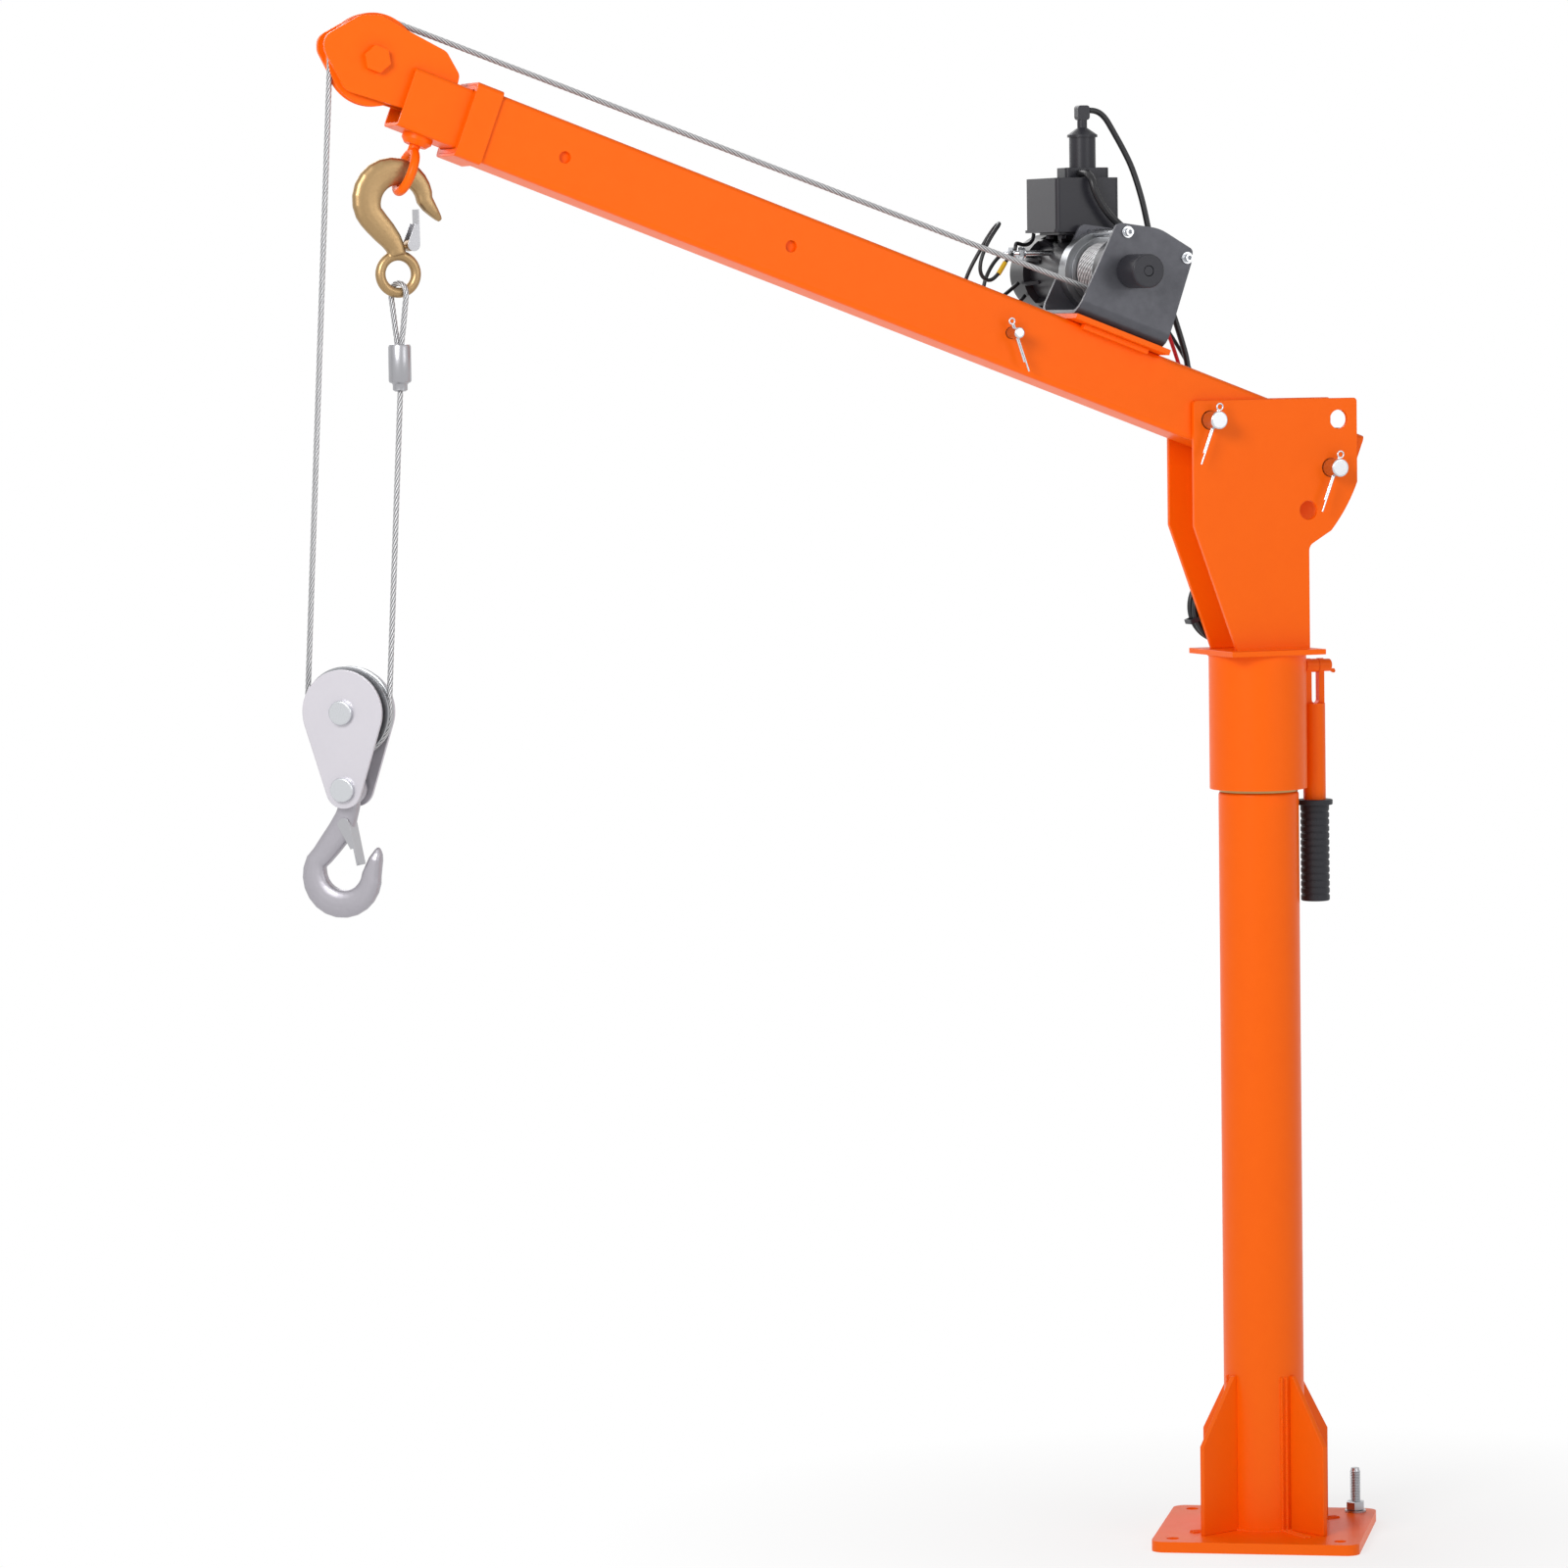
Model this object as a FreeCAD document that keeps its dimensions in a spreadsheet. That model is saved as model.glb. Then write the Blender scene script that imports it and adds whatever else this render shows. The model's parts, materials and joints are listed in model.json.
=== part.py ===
"""Pickup truck crane with an electric winch, as a parametric document.

World frame in millimetres: Z is up, the column's axis is the Z axis, the underside of
the base plate is at Z = 0 and the boom points towards -X. The near side is -Y.
Boom frame: X runs from the boom's pivot towards the tip, Z is square to the boom
and Y points to the near side. Block frame: X lies in the plane of the block's sheave.
"""
import FreeCAD
import Part
import math
import os
import re

from FreeCAD import Placement, Rotation, Vector

DOC = FreeCAD.newDocument("truck_crane")
SHEET = DOC.addObject("Spreadsheet::Sheet", "sizes")

SIZES = {
    # Base plate, column and gussets
    "base_side": 230, "base_thick": 12, "base_corner": 15, "base_turn": -31,
    "bolt_spacing": 185, "bolt_hole": 14,
    "column_outer": 89, "column_wall": 5, "column_top": 834, "column_round": 4,
    "gusset_thick": 6, "gusset_reach": 96, "gusset_edge": 99, "gusset_height": 173,
    "gusset_tip": 4, "gusset_turn": 5, "gusset_count": 4,
    # Swivel
    "spigot_outer": 76, "spigot_wall": 5, "spigot_sunk": 110, "spigot_rise": 142,
    "washer_thick": 3, "washer_outer": 87, "swivel_clear": 0.3,
    "sleeve_outer": 108, "sleeve_wall": 6, "sleeve_length": 149, "bush_length": 32,
    # Head
    "flange_along": 113, "flange_across": 116.5, "flange_thick": 6,
    "side_plate_thick": 6, "side_plate_play": 0.5,
    "pivot_back": -71, "pivot_rise": 254, "boom_tilt": 20.7,
    "lock_arm": 155.5, "lock_step": 20, "head_pin": 20, "pin_hole_play": 1,
    "head_top_over": 21.5, "head_front_over": 20, "head_arc_first": 21.884,
    "head_arc": 191.5, "head_arc_angle": 40.5, "head_waist_back": 47.5, "head_waist_rise": 113.3,
    "head_waist_round": 10, "head_front_drop": 116, "head_foot_front": 41,
    "plate_corner": 4, "pin_near_reach": 25, "pin_head_over": 4, "pin_head_thick": 6,
    "pin_round": 2,
    # Split cotters
    "cotter_wire": 1.9, "cotter_hole": 4.4, "cotter_eye": 7, "cotter_long": 51,
    "cotter_short": 38, "cotter_top": 15.5, "cotter_out": 13,
    # Turning handle
    "handle_out": 68.5, "handle_drop": 15, "handle_tube": 25, "handle_slot": 9,
    "handle_slot_length": 30, "handle_fork": 22, "handle_fork_deep": 9,
    "handle_eye": 16, "handle_shoulder": 42, "grip_drop": 149, "grip_cap": 4,
    "grip_outer": 32, "grip_length": 113, "grip_flange": 40, "grip_flange_thick": 6,
    "grip_rib": 1.2, "grip_rib_count": 14,
    "stud_thick": 8, "spacer_outer": 15, "nut_outer": 14, "nut_thick": 9,
    "wing_reach": 9, "wing_thick": 3, "wing_height": 12, "handle_play": 0.3,
    # Outer boom
    "boom_high": 75, "boom_wide": 60, "boom_wall": 4.5, "boom_round": 6, "boom_lift_off": 10,
    "boom_tail": 185, "boom_front": 911, "collar_length": 30, "collar_wall": 3.5,
    "stop_reach": 252.5, "stop_pitch": 271.2, "stop_pin": 12, "stop_hole_play": 1,
    "stop_near_reach": 25, "stop_head": 18, "stop_head_thick": 5,
    "stop_cotter_lean": -18.7, "stop_cotter_share": 0.87,
    # Inner boom and tip
    "inner_high": 64.5, "inner_wide": 49.5, "inner_wall": 4, "inner_round": 5,
    "inner_front": 978, "inner_notch": 18, "boom_travel": 542,
    "cheek_thick": 6, "cheek_centres": 25, "cheek_reach": 60.5, "tip_axle_front": 42.5, "tip_axle_rise": 25.5,
    "tip_axle": 16, "tip_hex": 26, "tip_head_thick": 8,
    "tip_rope_radius": 45.5, "tip_sheave_wide": 14, "tip_sheave_rim": 3.4,
    "tip_web": 6, "tip_hub": 26, "tip_lightening": 12, "sheave_holes": 5,
    # Rope
    "rope_thick": 5.5, "rope_gap": 0.25, "rope_joint": 0.4, "rope_stub": 14,
    # Eye bolt under the tip
    "eye_back": 32, "eye_boss": 33, "eye_boss_high": 10, "eye_rod": 10,
    "eye_radius": 22, "eye_stem": 12, "eye_stem_long": 2, "ring_clear": 1.8,
    # Line hook
    "line_shift": -988, "line_bowl": 20, "line_outer": 44, "line_deep": 16,
    "line_eye_outer": 25, "line_eye_inner": 14, "line_hole_drop": 73.3, "line_bowl_shift": 2,
    "line_back_drop": 78.2, "line_back_shift": -5, "line_tip_reach": 50, "line_tip_drop": 57,
    "line_pin_reach": 14, "line_pin_drop": 30,
    "hook_round": 2, "latch_thick": 1.6, "latch_pin": 5, "latch_ear": 6, "latch_play": 0.3,
    # Rope end
    "ferrule_length": 42, "ferrule_outer": 22, "ferrule_collar": 15, "ferrule_collar_length": 8,
    "ferrule_drop": 73,
    # Hook block
    "block_turn": -39.9, "block_shift": -1051, "block_level": 958,
    "block_round": 45, "block_gap": 35, "block_plate": 4, "block_pin_drop": 81,
    "block_foot": 20, "block_axle": 14, "rivet_head": 26, "rivet_high": 6,
    "block_rope_radius": 46.5, "block_sheave_wide": 16, "block_hub": 26, "block_web": 8,
    "block_rim": 1.5, "block_lightening": 13,
    # Load hook
    "load_bowl": 21, "load_outer": 44, "load_deep": 18, "load_eye_outer": 17, "load_pin": 14,
    "load_hole_drop": 86, "load_bowl_shift": -8, "load_back_drop": 93, "load_back_shift": -11,
    "load_tip_reach": 31, "load_tip_drop": 61, "load_pin_reach": -5, "load_pin_drop": 37,
    "load_eye_play": 0.3,
    # Winch seat and frame
    "seat_front": 195, "seat_length": 118, "seat_wide": 104, "seat_thick": 6,
    "rib_length": 81, "rib_wide": 11, "rib_thick": 6, "rib_front": 178,
    "frame_wide": 104, "frame_plate": 4, "frame_bend": 16, "frame_long": 111, "frame_high": 119.5,
    "drum_along": 150, "drum_rise": 118, "knob_outer": 37, "knob_reach": 45,
    "knob_base": 30, "knob_base_high": 22, "knob_button": 11, "knob_button_high": 1.5, "knob_play": 0.4,
    "knob_round": 2,
    "tie_front_along": 170, "tie_front_rise": 156, "tie_back_along": 94,
    "tie_back_rise": 154, "tie_bar": 9, "tie_head": 9, "tie_head_high": 8, "tie_washer": 13,
    "drum_core": 54, "drum_flange": 74, "drum_flange_thick": 3.6, "drum_width": 52,
    "drum_bore": 20, "drum_journal": 40, "drum_play": 0.4, "winding_turns": 7, "winding_play": 0.5,
    "ring_outer": 88, "ring_inner": 66, "gear_outer": 76,
    "motor_outer": 72, "motor_wall": 4, "motor_length": 96, "bell_outer": 88, "bell_length": 44,
    "bell_wall": 6, "bell_round": 8, "bell_ribs": 10, "bell_rib_thick": 4, "bell_rib_long": 26,
    "terminal_thick": 6, "terminal_nut": 12, "terminal_nut_thick": 5, "terminal_gap": 30,
    "terminal_start": 53, "terminal_reach": 68, "terminal_rise": 22,
    "seat_bolt": 8, "seat_bolt_head": 13, "seat_bolt_high": 5.5, "seat_bolt_end": 3,
    "seat_bolt_along": 34, "seat_bolt_across": 20, "fit_clear": 0.15,
    # Relay box and its leads
    "relay_front": 209.5, "relay_along": 75, "relay_across": 88, "relay_far": 60.5, "relay_bottom": 1454,
    "relay_high": 59.5, "relay_round": 5, "relay_lip": 3,
    "bracket_thick": 3, "bracket_wide": 54, "bracket_long": 66, "bracket_edge": 4, "saddle_long": 28,
    "saddle_wide": 10, "bracket_screw": 4, "bracket_screw_head": 8,
    "socket_along": 52, "socket_across": 30, "socket_high": 11.5, "plug_back": 161.8, "plug_far": 98,
    "plug_outer": 29.3, "plug_length": 33.5, "plug_cap": 33.6, "plug_cap_high": 10.5,
    "plug_neck": 11, "plug_neck_high": 12, "plug_knot": 14,
    "lead_thick": 6.7, "sheath_thick": 8.5, "small_lead": 4.4, "red_lead": 4.4,
    "joint_outer": 16, "joint_length": 22,
    # Spare length of the lead
    "coil_outer": 41.1, "coil_turns": 1.875, "coil_step": 7.6, "coil_play": 0.9,
    "connector_long": 34, "connector_wide": 15, "connector_thick": 13,
    "tie_band": 5, "tie_band_thick": 1.4, "tie_angle": 200,
    # One overrun for every cut
    "overrun": 10,
}
for row, (alias, value) in enumerate(SIZES.items(), start=1):
    SHEET.set("A%d" % row, alias)
    SHEET.set("B%d" % row, repr(value))
    SHEET.setAlias("B%d" % row, alias)
DOC.recompute()


class Sheet:
    """Reads the sheet's cells by their aliases."""

    def __getattr__(self, alias):
        return float(SHEET.get(alias))


S = Sheet()
PIECES = []
X_AXIS = Vector(1, 0, 0)
Y_AXIS = Vector(0, 1, 0)
Z_AXIS = Vector(0, 0, 1)
WORLD = Placement()


def formula(text):
    """The sum in text, with each alias turned into the name of its cell."""
    return re.sub(r"[a-z][a-z_]*[a-z]",
                  lambda word: "sizes." + word.group() if word.group() in SIZES else word.group(),
                  text)


def bind(item, **sums):
    """Binds properties of an object to sums of the sheet's cells."""
    for name, text in sums.items():
        item.setExpression(name, formula(text))
    return item


def at(x=0.0, y=0.0, z=0.0, axis=Z_AXIS, turn=0.0, frame=WORLD):
    """A placement at a point of a frame, turned about an axis there."""
    return frame.multiply(Placement(Vector(x, y, z), Rotation(axis, turn)))


def outline(*corners):
    """A closed outline through (x, y) or (x, y, rounding) corners.

    A ("via", x, y) between two corners bends the side there into an arc.
    """
    stops = []
    bends = {}
    for corner in corners:
        if corner[0] == "via":
            bends[len(stops) - 1] = Vector(corner[1], corner[2], 0)
        else:
            stops.append(corner)
    points = [Vector(stop[0], stop[1], 0) for stop in stops]
    arrive, leave, curves = [], [], []
    for index, here in enumerate(points):
        rounding = stops[index][2] if len(stops[index]) > 2 else 0
        if rounding > 0:
            before = (points[index - 1] - here).normalize()
            after = (points[(index + 1) % len(points)] - here).normalize()
            half = before.getAngle(after) / 2
            inward = (before + after).normalize()
            arrive.append(here + before * (rounding / math.tan(half)))
            leave.append(here + after * (rounding / math.tan(half)))
            middle = here + inward * (rounding / math.sin(half) - rounding)
            curves.append(Part.Arc(arrive[-1], middle, leave[-1]))
        else:
            arrive.append(here)
            leave.append(here)
    for index in range(len(points)):
        first = leave[index]
        last = arrive[(index + 1) % len(points)]
        if index in bends:
            curves.append(Part.Arc(first, bends[index], last))
        elif not first.isEqual(last, 1e-7):
            curves.append(Part.LineSegment(first, last))
    return curves


def circle(x, y, radius):
    """A circle for a sketch."""
    return [Part.Circle(Vector(x, y, 0), Z_AXIS, radius)]


def rectangle(low_x, low_y, high_x, high_y, rounding=0):
    """A rectangle for a sketch, with rounded corners where asked."""
    return outline((low_x, low_y, rounding), (high_x, low_y, rounding),
                   (high_x, high_y, rounding), (low_x, high_y, rounding))


def polygon_points(x, y, radius, sides, start=0.0):
    """The corners of a regular polygon."""
    angles = [math.radians(start + 360.0 * index / sides) for index in range(sides)]
    return [(x + radius * math.cos(angle), y + radius * math.sin(angle)) for angle in angles]


def ring_of_circles(reach, radius, count):
    """Circles for a sketch, evenly around its origin."""
    return [curve for x, y in polygon_points(0, 0, reach, int(count)) for curve in circle(x, y, radius)]


class Body:
    """A PartDesign body under construction."""

    def __init__(self, name, place=WORLD):
        self.name = name
        self.body = DOC.addObject("PartDesign::Body", name)
        self.body.Label = name
        self.body.Placement = place

    def sketch(self, plane, curves, rise=0.0, turn=0.0):
        """A sketch on an origin plane of this body, raised along its normal and turned in the body."""
        drawing = self.body.newObject("Sketcher::SketchObject", self.name + "_sketch")
        support = [item for item in self.body.Origin.OriginFeatures if item.Role == plane]
        drawing.AttachmentSupport = (support[0], [""])
        drawing.MapMode = "FlatFace"
        drawing.AttachmentOffset = Placement(Vector(0, 0, rise), Rotation(Y_AXIS, turn))
        drawing.addGeometry(curves, False)
        return drawing

    def pad(self, plane, curves, length, rise=0.0, middle=False, turn=0.0):
        """A pad along the plane's normal, or to both sides of it."""
        feature = self.body.newObject("PartDesign::Pad", self.name + "_pad")
        feature.Profile = self.sketch(plane, curves, rise, turn)
        feature.SideType = "Symmetric" if middle else "One side"
        bind(feature, Length=length)
        return self

    def pocket(self, plane, curves, rise=0.0, side=None):
        """A cut through the whole body; side 1 or -1 cuts only along or against the normal."""
        feature = self.body.newObject("PartDesign::Pocket", self.name + "_pocket")
        feature.Profile = self.sketch(plane, curves, rise)
        feature.Type = "ThroughAll"
        feature.SideType = "One side" if side else "Symmetric"
        feature.Reversed = side == 1
        return self

    def turn(self, curves):
        """A revolution about the body's own Z axis of an outline in its XZ plane."""
        feature = self.body.newObject("PartDesign::Revolution", self.name + "_turned")
        feature.Profile = self.sketch("XZ_Plane", curves)
        feature.ReferenceAxis = (feature.Profile[0], ["V_Axis"])
        feature.Angle = 360
        return self

    def round_rims(self, half, radius):
        """Rounds the edges of both flat faces, which lie half to each side of the XZ plane."""
        DOC.recompute()
        last = self.body.Tip
        names = []
        for index, edge in enumerate(last.Shape.Edges, start=1):
            ends = [vertex.Point.y for vertex in edge.Vertexes] + [edge.BoundBox.Center.y]
            if all(abs(abs(level) - half) < half / 100 for level in ends):
                names.append("Edge%d" % index)
        feature = self.body.newObject("PartDesign::Fillet", self.name + "_round")
        feature.Base = (last, names)
        bind(feature, Radius=radius)
        return self

    def keep(self):
        """Makes this body a node of the crane."""
        PIECES.append(self.body)
        return self.body


def keep(name, item):
    """Makes an object a node of the crane under a name."""
    item.Label = name
    PIECES.append(item)
    return item


def bar(name, radius, height, place):
    """A round bar along the Z of its placement."""
    item = DOC.addObject("Part::Cylinder", name)
    item.Placement = place
    return bind(item, Radius=radius, Height=height)


def brick(name, length, width, height, place):
    """A box with one corner at its placement."""
    item = DOC.addObject("Part::Box", name)
    item.Placement = place
    return bind(item, Length=length, Width=width, Height=height)


def cut(name, base, *tools):
    """One solid less others."""
    tool = tools[0] if len(tools) == 1 else join(name + "_tools", *tools)
    item = DOC.addObject("Part::Cut", name)
    item.Base = base
    item.Tool = tool
    return item


def join(name, *items):
    """Several solids made one."""
    item = DOC.addObject("Part::MultiFuse", name)
    item.Shapes = list(items)
    return item


def group(name, *items):
    """Separate solids in one node."""
    item = DOC.addObject("Part::Compound", name)
    item.Links = list(items)
    return item


def fixed_shape(name, shape):
    """A node whose shape is worked out from the sheet here."""
    item = DOC.addObject("Part::Feature", name)
    item.Shape = shape
    return keep(name, item)


# Levels and frames that several pieces share
SLEEVE_LOW = S.column_top + S.washer_thick
SLEEVE_HIGH = SLEEVE_LOW + S.sleeve_length
FLANGE_TOP = SLEEVE_HIGH + S.flange_thick
PIVOT_LEVEL = FLANGE_TOP + S.pivot_rise
BOOM = Placement(Vector(S.pivot_back, 0, PIVOT_LEVEL),
                 Rotation(Y_AXIS, S.boom_tilt).multiply(Rotation(Z_AXIS, 180)))
TOWARDS_NEAR = Rotation(X_AXIS, 90)
HEAD_INSIDE = S.boom_wide / 2 + S.side_plate_play
HEAD_OUTSIDE = HEAD_INSIDE + S.side_plate_thick
OVERRUN = S.overrun


def base():
    """The base plate, the column that is welded to it and its gussets."""
    half = S.base_side / 2
    spread = S.bolt_spacing / 2
    plate = Body("base_plate", at(turn=S.base_turn))
    plate.pad("XY_Plane", rectangle(-half, -half, half, half, S.base_corner), "base_thick")
    for x in (-spread, spread):
        for y in (-spread, spread):
            plate.pocket("XY_Plane", circle(x, y, S.bolt_hole / 2))
    plate.keep()

    outer = S.column_outer / 2
    inner = outer - S.column_wall
    column = Body("column_tube")
    column.turn(outline((inner, S.base_thick), (outer, S.base_thick),
                        (outer, S.column_top, S.column_round),
                        (inner, S.column_top))).keep()

    gussets = []
    low = S.base_thick
    for index in range(int(S.gusset_count)):
        corner = 45 + 360.0 * index / S.gusset_count
        rib = Body("gusset_%d" % (index + 1),
                   at(turn=S.base_turn + S.gusset_turn + corner))
        rib.pad("XZ_Plane", outline((inner, low), (S.gusset_reach, low),
                                    (S.gusset_reach, low + S.gusset_edge),
                                    (outer + S.gusset_tip, low + S.gusset_height),
                                    (inner, low + S.gusset_height)),
                "gusset_thick", middle=True)
        rib.pocket("XY_Plane", circle(0, 0, outer))
        gussets.append(rib.body)
    keep("column_gussets", group("column_gussets", *gussets))


def swivel():
    """The spigot in the column, the washer that carries the head, and the bushes."""
    outer = S.spigot_outer / 2
    low = S.column_top - S.spigot_sunk
    high = S.column_top + S.spigot_rise
    seat = S.column_outer / 2 - S.column_wall
    spigot = Body("swivel_spigot")
    spigot.turn(outline((outer - S.spigot_wall, low), (seat, low),
                        (seat, S.column_top), (outer, S.column_top),
                        (outer, high, S.pin_round), (outer - S.spigot_wall, high)))
    spigot.keep()
    washer = Body("thrust_washer")
    washer.turn(rectangle(outer, S.column_top, S.washer_outer / 2, SLEEVE_LOW)).keep()

    sleeve_outer = S.sleeve_outer / 2
    sleeve_inner = sleeve_outer - S.sleeve_wall
    sleeve = Body("swivel_sleeve")
    sleeve.turn(rectangle(sleeve_inner, SLEEVE_LOW, sleeve_outer, SLEEVE_HIGH)).keep()
    bushes = []
    for index, level in enumerate((SLEEVE_LOW, SLEEVE_HIGH - S.bush_length)):
        bush = Body("swivel_bush_%d" % (index + 1))
        bush.turn(rectangle(outer + S.swivel_clear, level, sleeve_inner, level + S.bush_length))
        bushes.append(bush.body)
    keep("swivel_bushes", group("swivel_bushes", *bushes))


def lock_point(steps):
    """A lock hole's place in the side plates, in steps from the fitted one."""
    angle = math.radians(S.boom_tilt + steps * S.lock_step)
    return (S.pivot_back + S.lock_arm * math.cos(angle),
            PIVOT_LEVEL - S.lock_arm * math.sin(angle))


def head():
    """The flange, the two side plates, their pins and the pins' split cotters."""
    flange = Body("flange_plate")
    flange.pad("XY_Plane", rectangle(-S.flange_along / 2, -S.flange_across / 2,
                                     S.flange_along / 2, S.flange_across / 2),
               "flange_thick", rise=SLEEVE_HIGH).keep()

    first = math.radians(S.head_arc_first)
    back = S.pivot_back + S.head_arc * math.cos(first)
    front = S.pivot_back - S.head_front_over
    top = PIVOT_LEVEL + S.head_top_over
    last = math.radians(S.head_arc_angle)

    def on_arc(angle):
        return (S.pivot_back + S.head_arc * math.cos(angle),
                PIVOT_LEVEL - S.head_arc * math.sin(angle))

    corner = S.plate_corner
    edge = outline((front, top, corner), (back, top, corner), on_arc(first),
                   ("via", *on_arc((first + last) / 2)), on_arc(last),
                   (S.head_waist_back, FLANGE_TOP + S.head_waist_rise, S.head_waist_round),
                   (S.head_waist_back, FLANGE_TOP), (-S.head_foot_front, FLANGE_TOP),
                   (front, PIVOT_LEVEL - S.head_front_drop, corner))
    bore = (S.head_pin + S.pin_hole_play) / 2
    for name, face in (("side_plate_near", -HEAD_INSIDE), ("side_plate_far", HEAD_OUTSIDE)):
        plate = Body(name)
        plate.pad("XZ_Plane", edge, "side_plate_thick", rise=-face)
        for x, z in [(S.pivot_back, PIVOT_LEVEL)] + [lock_point(steps) for steps in (-1, 0, 1)]:
            plate.pocket("XZ_Plane", circle(x, z, bore))
        plate.keep()

    cotters = []
    places = (("pivot_pin", S.pivot_back, PIVOT_LEVEL), ("lock_pin", *lock_point(0)))
    for name, x, z in places:
        place = Placement(Vector(x, 0, z), TOWARDS_NEAR)
        keep(name, pin(name, place, S.head_pin, HEAD_OUTSIDE, S.pin_near_reach,
                       S.head_pin / 2 + S.pin_head_over, S.pin_head_thick, S.boom_tilt))
        cotters.append(cotter(name + "_cotter", x, z, HEAD_OUTSIDE, S.boom_tilt, 1))
    keep("head_cotters", group("head_cotters", *cotters))


def pin(name, place, thick, half, near_reach, head_radius, head_thick, lean):
    """A headed pin along a placement's Z, drilled across for a cotter."""
    end = half + near_reach
    shank = Body(name + "_shank", place)
    shank.turn(outline((0, -half - head_thick), (head_radius, -half - head_thick, S.pin_round),
                       (head_radius, -half), (thick / 2, -half),
                       (thick / 2, end, S.pin_round), (0, end)))
    hole = DOC.addObject("Part::Cylinder", name + "_hole")
    hole.Placement = Placement(place.Base - Y_AXIS * (half + S.cotter_out), Rotation(Y_AXIS, lean))
    hole.Placement = hole.Placement.multiply(Placement(Z_AXIS * -(thick / 2 + OVERRUN), Rotation()))
    bind(hole, Radius="cotter_hole / 2")
    hole.Height = thick + 2 * OVERRUN
    return cut(name, shank.body, hole)


def cotter(name, x, z, half, lean, share):
    """A split cotter: an eye and two legs, through a pin that stands out by near_reach."""
    place = Placement(Vector(x, -half - S.cotter_out, z), Rotation(Y_AXIS, lean))
    wire = S.cotter_wire / 2
    top = S.cotter_top * share
    ring = DOC.addObject("Part::Torus", name + "_eye")
    ring.Placement = place.multiply(Placement(Vector(0, 0, top), TOWARDS_NEAR))
    bind(ring, Radius2="cotter_wire / 2")
    ring.Radius1 = S.cotter_eye * share / 2
    legs = [ring]
    for side, length in ((1, S.cotter_long * share), (-1, S.cotter_short * share)):
        root = Vector(side * wire, 0, top - S.cotter_eye * share / 2)
        leg = DOC.addObject("Part::Cylinder", name + "_leg")
        leg.Placement = place.multiply(Placement(root, Rotation(X_AXIS, 180)))
        bind(leg, Radius="cotter_wire / 2")
        leg.Height = length + root.z
        legs.append(leg)
    return join(name, *legs)


def handle():
    """The turning handle on its stud at the back of the sleeve."""
    level = SLEEVE_HIGH - S.handle_drop
    place = at(S.handle_out, 0, level)
    tube = S.handle_tube / 2
    deep = S.handle_fork_deep / 2
    eye = S.handle_eye / 2
    slot = S.handle_slot / 2
    grip_low = S.grip_drop + S.grip_length
    neck = math.sqrt(eye * eye - deep * deep)
    lever = Body("handle_lever", place)
    lever.pad("XY_Plane", circle(0, 0, tube), "grip_drop + grip_length - grip_cap - handle_shoulder",
              rise=S.grip_cap - grip_low)
    lever.pad("YZ_Plane", outline((-deep, -S.handle_shoulder - deep), (deep, -S.handle_shoulder - deep),
                                  (deep, -neck), ("via", 0, eye), (-deep, -neck)),
              "handle_fork", middle=True)
    lever.pocket("XZ_Plane", outline((-slot, eye + OVERRUN), (-slot, slot - S.handle_shoulder),
                                     ("via", 0, -S.handle_shoulder),
                                     (slot, slot - S.handle_shoulder), (slot, eye + OVERRUN)))
    lever.pocket("YZ_Plane", circle(0, 0, (S.stud_thick + 2 * S.handle_play) / 2))
    lever.keep()

    outer = S.grip_outer / 2
    step = (S.grip_length - S.grip_flange_thick) / S.grip_rib_count
    corners = [(tube, -grip_low + S.grip_cap), (0, -grip_low + S.grip_cap), (0, -grip_low),
               (outer, -grip_low, S.pin_round)]
    for index in range(1, int(S.grip_rib_count)):
        level_here = -grip_low + index * step
        corners += [(outer, level_here - step / 4), (outer - S.grip_rib, level_here),
                    (outer, level_here + step / 4)]
    corners += [(outer, -S.grip_drop - S.grip_flange_thick),
                (S.grip_flange / 2, -S.grip_drop - S.grip_flange_thick, S.grip_rib),
                (S.grip_flange / 2, -S.grip_drop, S.grip_rib), (tube, -S.grip_drop)]
    Body("handle_grip", place).turn(outline(*corners)).keep()

    stud = S.stud_thick / 2
    fork = S.handle_fork / 2
    spacer = slot - S.handle_play
    sleeve = S.sleeve_outer / 2
    boss = S.handle_out - fork - S.handle_play
    end = S.handle_out + fork + S.handle_play + S.nut_thick
    along = Placement(Vector(0, 0, level), Rotation(Y_AXIS, 90))
    bolt = Body("handle_stud", along)
    bolt.turn(outline((0, sleeve - OVERRUN), (S.nut_outer / 2, sleeve - OVERRUN), (S.nut_outer / 2, boss),
                      (stud, boss), (stud, S.handle_out - spacer),
                      (S.spacer_outer / 2, S.handle_out - spacer),
                      (S.spacer_outer / 2, S.handle_out + spacer), (stud, S.handle_out + spacer),
                      (stud, end), (0, end)))
    core = bar("sleeve_core", "sleeve_outer / 2", "sleeve_length", at(0, 0, SLEEVE_LOW))
    stud_cut = cut("handle_stud_cut", bolt.body, core)
    nut = Body("handle_wing_nut", along)
    start = end - S.nut_thick
    nut.turn(outline((stud, start), (S.nut_outer / 2, start), (S.nut_outer / 2, end, S.pin_round),
                     (stud, end)))
    nut.pad("XZ_Plane", outline((stud, end - S.pin_round), (S.nut_outer / 2 - S.grip_rib, end - S.pin_round),
                                (S.wing_height, end + S.wing_reach, S.pin_round),
                                (stud, end + S.wing_reach / 2)), "wing_thick", middle=True)
    keep("handle_pivot_bolt", group("handle_pivot_bolt", stud_cut, nut.body))


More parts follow.
